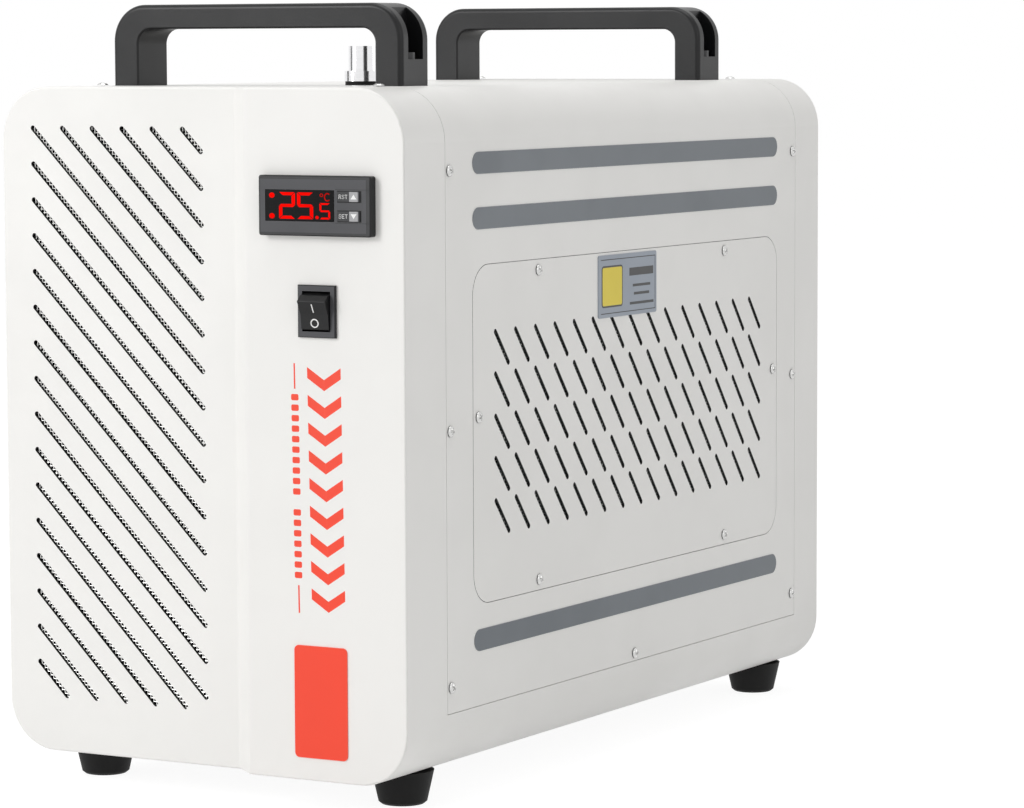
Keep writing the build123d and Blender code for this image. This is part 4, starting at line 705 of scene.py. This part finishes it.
def screwShapes(centre, outward, upward, turn):
    # a domed head and its shank: the dome's height falls as one minus the crown times the squared
    # radius share, to the crown's power, and the two arms of the cross are sunk into it
    centre, outward, upward = (np.asarray(v, float) for v in (centre, outward, upward))
    angle = np.linspace(0, 2 * pi, screws["steps"], endpoint=False)
    share, around = np.meshgrid(screws["rings"], angle, indexing="ij")
    flatX = share * screws["radius"] * np.cos(around)
    flatY = share * screws["radius"] * np.sin(around)
    narrow, wide = np.minimum(abs(flatX), abs(flatY)), np.maximum(abs(flatX), abs(flatY))
    dome = screws["height"] * (1 - screws["crown"] * share ** 2) ** screws["crownPower"]
    inArm = (narrow < screws["armWidth"]) & (wide < screws["armLength"])
    sunk = screws["recess"] * (1 - screws["recessSlope"] * wide / screws["armLength"])
    lift = dome - np.where(inArm, sunk, 0.0)
    right = np.cross(upward, outward)
    turnedX = flatX * cos(turn) - flatY * sin(turn)
    turnedY = flatX * sin(turn) + flatY * cos(turn)
    head = centre + 0.001 * (turnedX[..., None] * right + turnedY[..., None] * upward
                             + lift[..., None] * outward)
    radius, shank, length = screws["radius"], screws["shank"], screws["length"]
    profile = np.array([(radius, 0.0), (shank, 0.0), (shank, -length), (0.0, -length)]) * 0.001
    return [gridShape(head, wrapColumns=True),
            turnedShape(profile, centre, outward, right, screws["shankSteps"])]


def screwPlaces():  # centre, outward and upward direction of each screw
    depths = (screws["frontDepth"], screws["rearDepth"])
    places = []
    for side in (1, -1):
        spots = [(depth, height) for depth in depths for height in screws["edgeHeights"]]
        spots += [(screws["middleDepth"], screws["sillHeight"])]
        spots += [(depth, height) for depth in screws["panelDepths"]
                  for height in screws["panelHeights"]]
        spots += [(depth, screws["panelEndHeight"]) for depth in screws["panelEnds"]]
        wall = side * case["width"] / 2
        places += [(inFrame(wall, *spot), (side, 0, 0), (0, 0, 1)) for spot in spots]
        places += [(inFrame(side * screws["topX"], depth, case["height"]), (0, 0, 1), (0, 1, 0))
                   for depth in depths]
        places += [(inFrame(side * x, screws["rearFace"], case["height"] / 2 + level * rise),
                    (0, 1, 0), (0, 0, 1)) for x, rise in screws["rearSpots"] for level in (1, -1)]
    return places


places = screwPlaces()
screwTurns = np.random.default_rng(screws["seed"]).uniform(0, pi / 2, len(places))
headShapes = []
for place, turn in zip(places, screwTurns):
    headShapes += screwShapes(*place, turn)
addPiece("crossScrews", headShapes, "brightSteel", "casing", ("casing_screws",),
         sharp=50.0)
print("screws cut:", len(places))

# Display: glowing segment figures on the smoked window
display = {
    "centre": (78.2, 335.4),
    "window": (46.6, 17.9),
    "face": -5.5,
    "lift": 0.12,
    "main": (10.9, 15.3, 2.3, 1.75),                # width, height, upright stroke, level stroke
    "small": (7.1, 9.3, 1.25, 1.0),
    "gap": 0.3,
    "mainFigures": ((9.4, "2"), (21.7, "5")),       # left edge from the window's left, then the figure
    "mainDrop": 1.35,
    "smallFigure": (36.9, "5"),
    "smallDrop": 7.3,
    "dots": ((4.5, 3.25, 1.85, 1.55), (4.5, 15.1, 1.85, 1.55), (35.2, 15.6, 1.15, 0.95)),
    "degree": (38.2, 2.8, 1.2, 1.0, 0.42),          # right, drop, two radii, stroke
    "letter": (42.2, 3.9, 1.9, 2.1, 0.62, 55.0),    # the same, then half the opening in degrees
    "letterSteps": 13,
}
segmentsLit = {"2": "abged", "5": "afgcd"}


def segmentOutlines(width, height, upright, level, gap):
    # mitred bars: the outer ones are longer on their outer edge, the middle one has pointed ends
    middle, half = height / 2, level / 2
    inner, outer = gap + upright, width - gap
    top = [(gap, height), (outer, height), (outer - upright, height - level), (inner, height - level)]
    left = [(0, height - gap), (upright, height - level - gap), (upright, middle + half + gap),
            (0, middle + gap)]
    start, end = gap + upright / 2, outer - upright / 2
    bar = [(gap, middle), (start, middle + half), (end, middle + half), (outer, middle),
           (end, middle - half), (start, middle - half)]
    outlines = {"a": top, "f": left, "g": bar}
    outlines["b"] = [(width - x, y) for x, y in left]
    outlines["c"] = [(width - x, height - y) for x, y in left]
    outlines["d"] = [(x, height - y) for x, y in top]
    outlines["e"] = [(x, height - y) for x, y in left]
    return {key: np.array(outline, float) for key, outline in outlines.items()}


def displayShapes():
    width, height = display["window"]
    toFrame = frontFrame(display["centre"][0] - width / 2, display["centre"][1] + height / 2,
                         display["face"])
    lift = display["lift"]
    figures = [(*entry, display["mainDrop"], display["main"]) for entry in display["mainFigures"]]
    figures.append((*display["smallFigure"], display["smallDrop"], display["small"]))
    bright = []
    for left, figure, drop, sizes in figures:
        bars = segmentOutlines(*sizes, display["gap"])
        for key in segmentsLit[figure]:
            bright.append(slabShape(bars[key] + (left, -drop - sizes[1]), 0.0, lift, toFrame))
    for x, drop, radiusX, radiusY in display["dots"]:
        bright.append(slabShape(ovalOutline(x, -drop, radiusX, radiusY), 0.0, lift, toFrame))
    x, drop, radiusX, radiusY, stroke = display["degree"]
    dim = [hoopShape((x, -drop, radiusX, radiusY), stroke, 0.0, lift, toFrame)]
    x, drop, radiusX, radiusY, stroke, opening = display["letter"]
    turn = np.radians(np.linspace(opening, 360.0 - opening, display["letterSteps"]))
    curve = np.stack([x + radiusX * np.cos(turn), -drop + radiusY * np.sin(turn)], axis=-1)
    dim += strokeShapes(curve, stroke, 0.0, lift, toFrame)
    return bright, dim


brightShapes, dimShapes = displayShapes()
addPiece("glowingFigures", brightShapes, "redGlow", "casing")
addPiece("glowingUnit", dimShapes, "dimGlow", "casing")
print("display lit")

# Buttons: a dark lettered end and a pale key with an arrowhead
buttonMarks = {
    "x": 111.6,
    "middle": 335.3,
    "rise": 5.6,
    "face": -6.4,
    "lift": 0.05,
    "width": 14.4,
    "height": 5.6,
    "split": 0.7,               # where the dark end meets the pale key
    "keyInset": 0.8,
    "letterHeight": 2.1,
    "letterWidth": 1.4,
    "letterPitch": 2.1,
    "letterStart": -6.2,
    "stroke": 0.3,
    "arrow": (3.6, 2.0, 1.4),   # middle, half width, half height
}
letterStrokes = {
    "R": (((0, 0), (0, 1), (0.8, 1), (1, 0.78), (0.8, 0.52), (0, 0.52)), ((0.45, 0.52), (1, 0))),
    "S": (((1, 0.88), (0.8, 1), (0.2, 1), (0, 0.8), (0.15, 0.58), (0.85, 0.44), (1, 0.22), (0.8, 0),
           (0.2, 0), (0, 0.12)),),
    "T": (((0, 1), (1, 1)), ((0.5, 1), (0.5, 0))),
    "E": (((1, 1), (0, 1), (0, 0), (1, 0)), ((0, 0.5), (0.85, 0.5))),
}


def wordShapes(word, left, low, lift, toFrame):
    shapes = []
    for place, letter in enumerate(word):
        start = left + place * buttonMarks["letterPitch"]
        for line in letterStrokes[letter]:
            points = [(start + x * buttonMarks["letterWidth"], low + y * buttonMarks["letterHeight"])
                      for x, y in line]
            shapes += strokeShapes(points, buttonMarks["stroke"], lift, 2 * lift, toFrame)
    return shapes


def letterButton(body, word, direction):  # the arrowhead points up for direction 1 and down for -1
    toFrame = frontFrame(buttonMarks["x"], buttonMarks["middle"] + direction * buttonMarks["rise"],
                         buttonMarks["face"])
    wide, tall = buttonMarks["width"] / 2, buttonMarks["height"] / 2
    split, lift = buttonMarks["split"], buttonMarks["lift"]
    label = slabShape(rectangle(-wide, split, -tall, tall), 0.0, lift, toFrame)
    key = slabShape(rectangle(split, wide - buttonMarks["keyInset"], -tall, tall), 0.0, lift, toFrame)
    letters = wordShapes(word, buttonMarks["letterStart"], -buttonMarks["letterHeight"] / 2, lift,
                         toFrame)
    middle, halfWide, halfTall = buttonMarks["arrow"]
    foot, tip = -halfTall * direction, halfTall * direction
    outline = [(middle - halfWide, foot), (middle + halfWide, foot), (middle, tip)][::direction]
    arrow = slabShape(outline, lift, 2 * lift, toFrame)
    addPiece(word.lower() + "Label", [label], "inkAndShadeBlack", body)
    addPiece(word.lower() + "Key", [key], "keyGrey", body)
    addPiece(word.lower() + "Mark", letters + [arrow], "inkWhite", body)


letterButton("upper_button", "RST", 1)
letterButton("lower_button", "SET", -1)
print("buttons lettered")

# Controller: painted shade as dark slabs in the pockets round the buttons and along fine grooves, and a
# dark border over its face
bezel = {
    "face": -5.5,
    "lift": 0.04,
    "pocket": (103.6, 120.0, 3.55),             # left, right, half height
    "grooves": (344.9, 325.7),
    "grooveEnds": (102.3, 124.6),
    "grooveWidth": 0.3,
    "border": (51.4, 122.9, 319.9, 350.6),      # left, right, low, high edges of the grey face
    "outer": (50.8, 125.2, 318.7, 351.9),
}


def bezelShadeAndBorderShapes():
    toFrame = frontFrame(0.0, 0.0, bezel["face"])
    left, right, reach = bezel["pocket"]
    # painted shade: flat dark slabs in the pockets round the buttons and along the grooves
    shapes = []
    for direction in (1, -1):
        middle = buttonMarks["middle"] + direction * buttonMarks["rise"]
        pocket = rectangle(left, right, middle - reach, middle + reach)
        shapes.append(slabShape(pocket, 0.0, bezel["lift"], toFrame))
    for height in bezel["grooves"]:
        ends = [(x, height) for x in bezel["grooveEnds"]]
        shapes += strokeShapes(ends, bezel["grooveWidth"], 0.0, bezel["lift"], toFrame)
    shapes.append(rimShape(bezel["outer"], bezel["border"], (0.0, bezel["lift"]), toFrame))
    return shapes


addPiece("bezelShadeAndBorder", bezelShadeAndBorderShapes(), "inkAndShadeBlack", "casing")
print("controller face drawn")

# Rocker: a bar and a ring moulded on its dished face
rocker = {
    "x": 86.7,
    "height": 274.4,
    "pivotDepth": 2.0,
    "valley": 6.5,
    "rise": 1.5,
    "reach": 8.5,
    "tilt": 16.0,
    "bar": (1.8, 6.6, 0.7),             # low, high, stroke
    "ring": (0.0, -4.85, 2.75, 2.6),    # right, rise, two radii
    "ringStroke": 0.7,
    "ringSteps": 40,
    "lift": 0.06,
}


def rockerFrame(right, along, lift):
    # the face leans by the tilt and rises evenly from its middle towards both ends
    turn = radians(rocker["tilt"])
    out = rocker["valley"] + rocker["rise"] * abs(along) / rocker["reach"] + lift
    return inFrame(rocker["x"] + right, rocker["pivotDepth"] - out * cos(turn) - along * sin(turn),
                   rocker["height"] + along * cos(turn) - out * sin(turn))


low, high, stroke = rocker["bar"]
rockerShapes = strokeShapes(((0.0, low), (0.0, high)), stroke, 0.0, rocker["lift"], rockerFrame)
rockerShapes.append(hoopShape(rocker["ring"], rocker["ringStroke"], 0.0, rocker["lift"], rockerFrame,
                              rocker["ringSteps"]))
addPiece("rockerMarks", rockerShapes, "inkWhite", "rocker")
print("rocker marked")

# Red printing on the control column: chevrons beside a line of small marks between two fine lines
printing = {
    "lean": 0.015,
    "top": 243.4,
    "lift": 0.04,
    "chevronLeft": 78.9,
    "chevronWidth": 22.8,
    "chevronTop": 242.0,
    "chevronPitch": 16.1,
    "chevronHeight": 13.6,
    "chevronStroke": 6.4,
    "chevrons": 9,
    "markLeft": 67.6,
    "markWidth": 5.1,
    "markTop": 226.0,
    "markPitch": 6.1,
    "markHeight": 3.7,
    "markRound": 0.9,
    "markSteps": 3,
    "markGap": 10,              # the place that stays empty
    "marks": 18,
    "lineX": 70.2,
    "lineWidth": 1.0,
    "lines": ((243.4, 229.5), (114.0, 98.8)),
}


def printingFrame(x, height, lift):
    # the print leans: x grows by the lean times the drop from the top
    return inFrame(x + printing["lean"] * (printing["top"] - height), -lift, height)


def chevronOutlines(top):  # two leaning bars that meet in the middle, lower by the fall
    left, stroke = printing["chevronLeft"], printing["chevronStroke"]
    middle, right = left + printing["chevronWidth"] / 2, left + printing["chevronWidth"]
    tip = top - (printing["chevronHeight"] - stroke)
    return ([(left, top), (left, top - stroke), (middle, tip - stroke), (middle, tip)],
            [(middle, tip), (middle, tip - stroke), (right, top - stroke), (right, top)])


def printingShapes():
    outlines = []
    for place in range(printing["chevrons"]):
        outlines += chevronOutlines(printing["chevronTop"] - place * printing["chevronPitch"])
    wide, tall = printing["markWidth"], printing["markHeight"]
    mark = roundedOutline(wide, tall, printing["markRound"], printing["markSteps"])
    for place in range(printing["marks"]):
        if place != printing["markGap"]:
            top = printing["markTop"] - place * printing["markPitch"]
            outlines.append(mark + (printing["markLeft"] + wide / 2, top - tall / 2))
    shapes = [slabShape(outline, 0.0, printing["lift"], printingFrame) for outline in outlines]
    for heights in printing["lines"]:
        ends = [(printing["lineX"], height) for height in heights]
        shapes += strokeShapes(ends, printing["lineWidth"], 0.0, printing["lift"], printingFrame)
    return shapes


addPiece("redPrinting", printingShapes(), "redPaint", "casing")
print("red printing laid")

# Side plate: fine dark border lines, a yellow square and plain dark bars
plate = {
    "centre": (271.8, 277.1),
    "inset": -0.6,
    "lift": 0.05,
    "borders": (((-35.6, 16.6), (36.4, 16.6)), ((-35.6, -16.9), (36.4, -16.9)),
                ((37.0, 16.6), (37.0, -16.9))),
    "borderWidth": 0.55,
    "square": (-21.0, -0.2, 28.0, 26.0, 2.5),       # centre, width, height, corner
    "squareEdge": 1.1,
    "bars": (((4.5, 7.7), (32.0, 7.7), 5.0), ((7.5, -1.0), (29.5, -1.0), 1.7),
             ((9.0, -6.2), (28.0, -6.2), 1.7), ((3.5, -12.2), (34.0, -12.2), 1.7)),
}


def plateShapes():
    toFrame = sideFrame(1, *plate["centre"], plate["inset"])
    x, y, wide, tall, radius = plate["square"]
    edge, lift = plate["squareEdge"], plate["lift"]
    dark = [slabShape(roundedOutline(wide, tall, radius) + (x, y), 0.0, lift, toFrame)]
    field = roundedOutline(wide - 2 * edge, tall - 2 * edge, radius - edge) + (x, y)
    for start, end in plate["borders"]:
        dark += strokeShapes((start, end), plate["borderWidth"], 0.0, lift, toFrame)
    for start, end, stroke in plate["bars"]:
        dark += strokeShapes((start, end), stroke, 0.0, lift, toFrame)
    return dark, [slabShape(field, lift, 2 * lift, toFrame)]


darkShapes, yellowShapes = plateShapes()
addPiece("plateMarks", darkShapes, "inkAndShadeBlack", "casing")
addPiece("plateSquare", yellowShapes, "inkYellow", "casing")
print("side plate marked")

# Fan guard: rings of round wire on eight spokes with a middle plate
guard = {
    "centre": (0.0, 240.0),
    "face": 550.5,
    "standOff": 5.0,
    "wire": 1.2,
    "wireSides": 10,
    "openingRadius": 104.0,
    "rings": 6,
    "ringSteps": 120,
    "spokes": 8,
    "reach": 4.0,
    "bendSteps": 9,
    "footGap": 0.2,
    "plateRadius": 34.0,
    "plateSteps": 72,
    "groove": (0.56, 0.6, 0.68, 0.72),      # shares of the plate's radius
    "grooveDepth": 0.4,
    "screwShare": 0.64,
    "screwTurn": 0.4,
}


def guardPoint(radius, turn, reach):  # polar place behind the rear panel
    x, height = guard["centre"]
    return inFrame(x + radius * np.cos(turn), guard["face"] + reach, height + radius * np.sin(turn))


def guardShapes():
    # circles of wire at even radii, and spokes that run out level, turn through a quarter circle and
    # stand on the rear panel
    wire, out, inner = guard["wire"], guard["standOff"] + guard["wire"], guard["plateRadius"]
    thickness, sides = 0.001 * wire, guard["wireSides"]
    turn = np.linspace(0, 2 * pi, guard["ringSteps"], endpoint=False)
    step = (guard["openingRadius"] - inner) / guard["rings"]
    shapes = []
    for count in range(1, guard["rings"] + 1):
        path = guardPoint(inner + count * step, turn, out)
        shapes.append(wireShape(path, thickness, sides, True, (0.0, 1.0, 0.0)))
    far, bend = guard["openingRadius"] + guard["reach"] - wire, out - wire / 2
    arc = np.linspace(0, pi / 2, guard["bendSteps"])
    radii = np.concatenate([[inner - 2 * wire], far - bend + bend * np.sin(arc), [far]])
    reaches = np.concatenate([[out], out - bend + bend * np.cos(arc), [guard["footGap"]]])
    for count in range(guard["spokes"]):
        angle = 2 * pi / guard["spokes"] * (count + 0.5)
        path = guardPoint(radii, angle, reaches)
        shapes.append(wireShape(path, thickness, sides, False, (sin(angle), 0.0, -cos(angle))))
    return shapes


def guardPlateShapes():  # a turned disc with a groove and rounded edges, and four screw heads in it
    inner, outer, edge = guard["standOff"], guard["standOff"] + 2 * guard["wire"], guard["plateRadius"]
    grooveStart, floorStart, floorEnd, grooveEnd = (edge * share for share in guard["groove"])
    floor = outer - guard["grooveDepth"]
    profile = [(0.0, outer), (grooveStart, outer), (floorStart, floor), (floorEnd, floor),
               (grooveEnd, outer), (edge - 1.0, outer), (edge - 0.3, outer - 0.3), (edge, outer - 0.9),
               (edge, inner + 0.3), (edge - 0.3, inner), (0.0, inner)]
    centre = guardPoint(0.0, 0.0, 0.0)
    shapes = [turnedShape(np.array(profile) * 0.001, centre, (0, 1, 0), (1, 0, 0),
                          guard["plateSteps"])]
    for count in range(4):
        place = guardPoint(edge * guard["screwShare"], pi / 4 + count * pi / 2, floor)
        shapes += screwShapes(place, (0, 1, 0), (0, 0, 1), guard["screwTurn"] * count)[:1]
    return shapes


addPiece("guardWires", guardShapes() + guardPlateShapes(), "blackPaint", "casing",
         ("fan_guard",), sharp=40.0)
print("fan guard wound")

# Stage: pale floor, white surroundings and soft lamps
studio = {
    "ambient": 0.42,
    "floorReach": 12.0,
    "floorColour": (0.9, 0.9, 0.9),
    "floorRoughness": 0.9,
    "floorSpecular": 0.1,
    "floorLift": 0.8,
    "floorGlow": 1.15,
    "lamps": (      # name, place, what it points at, size, power
        ("keyLamp", (-1.9, -2.9, 1.9), (0.0, -0.1, 0.2), 1.8, 56.0),
        ("fillLamp", (2.9, -1.6, 1.4), (0.1, 0.0, 0.2), 1.8, 8.0),
        ("topLamp", (0.1, -0.1, 2.6), (0.0, 0.0, 0.3), 1.8, 21.0),
        ("lowLamp", (-2.2, -3.2, 0.45), (0.0, -0.2, 0.35), 0.7, 8.0),
        ("backLamp", (1.9, 1.9, 0.5), (0.15, 0.0, 0.3), 1.0, 3.5),
    ),
}


def seenDirectly(tree):  # 1 for rays from the camera and for those seen in metal or through glass
    path = tree.nodes.new("ShaderNodeLightPath")
    seen = mathNode(tree, "MAXIMUM", path.outputs["Is Camera Ray"], path.outputs["Is Glossy Ray"])
    return mathNode(tree, "MAXIMUM", seen, path.outputs["Is Transmission Ray"])


def makeWorld():
    world = bpy.data.worlds.new("studioWorld")
    scene.world = world
    world.use_nodes = True
    tree = world.node_tree
    ground = tree.nodes["Background"]
    ground.inputs["Color"].default_value = (1.0, 1.0, 1.0, 1.0)
    strength = rangeNode(tree, seenDirectly(tree), 0.0, 1.0, studio["ambient"], 1.0)
    link(tree, strength, ground.inputs["Strength"])


def makeFloor():
    reach = studio["floorReach"]
    corners = [(x, y, 0.0) for x, y in rectangle(-reach, reach, -reach, reach)]
    mesh = bpy.data.meshes.new("paleFloor")
    mesh.from_pydata(corners, [], [(0, 1, 2, 3)])
    floor = bpy.data.objects.new("paleFloor", mesh)
    scene.collection.objects.link(floor)
    material, tree, shader = newMaterial("paleFloor")
    shader.inputs["Base Color"].default_value = (*studio["floorColour"], 1.0)
    shader.inputs["Roughness"].default_value = studio["floorRoughness"]
    shader.inputs["Specular IOR Level"].default_value = studio["floorSpecular"]
    lift = tree.nodes.new("ShaderNodeEmission")
    lift.inputs["Strength"].default_value = studio["floorGlow"]
    mix = tree.nodes.new("ShaderNodeMixShader")
    link(tree, mathNode(tree, "MULTIPLY", seenDirectly(tree), studio["floorLift"]), mix.inputs[0])
    link(tree, shader.outputs[0], mix.inputs[1])
    link(tree, lift.outputs[0], mix.inputs[2])
    link(tree, mix.outputs[0], tree.nodes["Material Output"].inputs["Surface"])
    mesh.materials.append(material)


def makeLamps():
    for name, place, aim, size, power in studio["lamps"]:
        lamp = bpy.data.lights.new(name, "AREA")
        lamp.shape = "DISK"
        lamp.size = size
        lamp.energy = power
        holder = bpy.data.objects.new(name, lamp)
        scene.collection.objects.link(holder)
        holder.location = place
        holder.rotation_euler = (Vector(aim) - Vector(place)).to_track_quat("-Z", "Y").to_euler()


makeWorld()
makeFloor()
makeLamps()
scene.view_settings.view_transform = "Standard"
print("stage set")
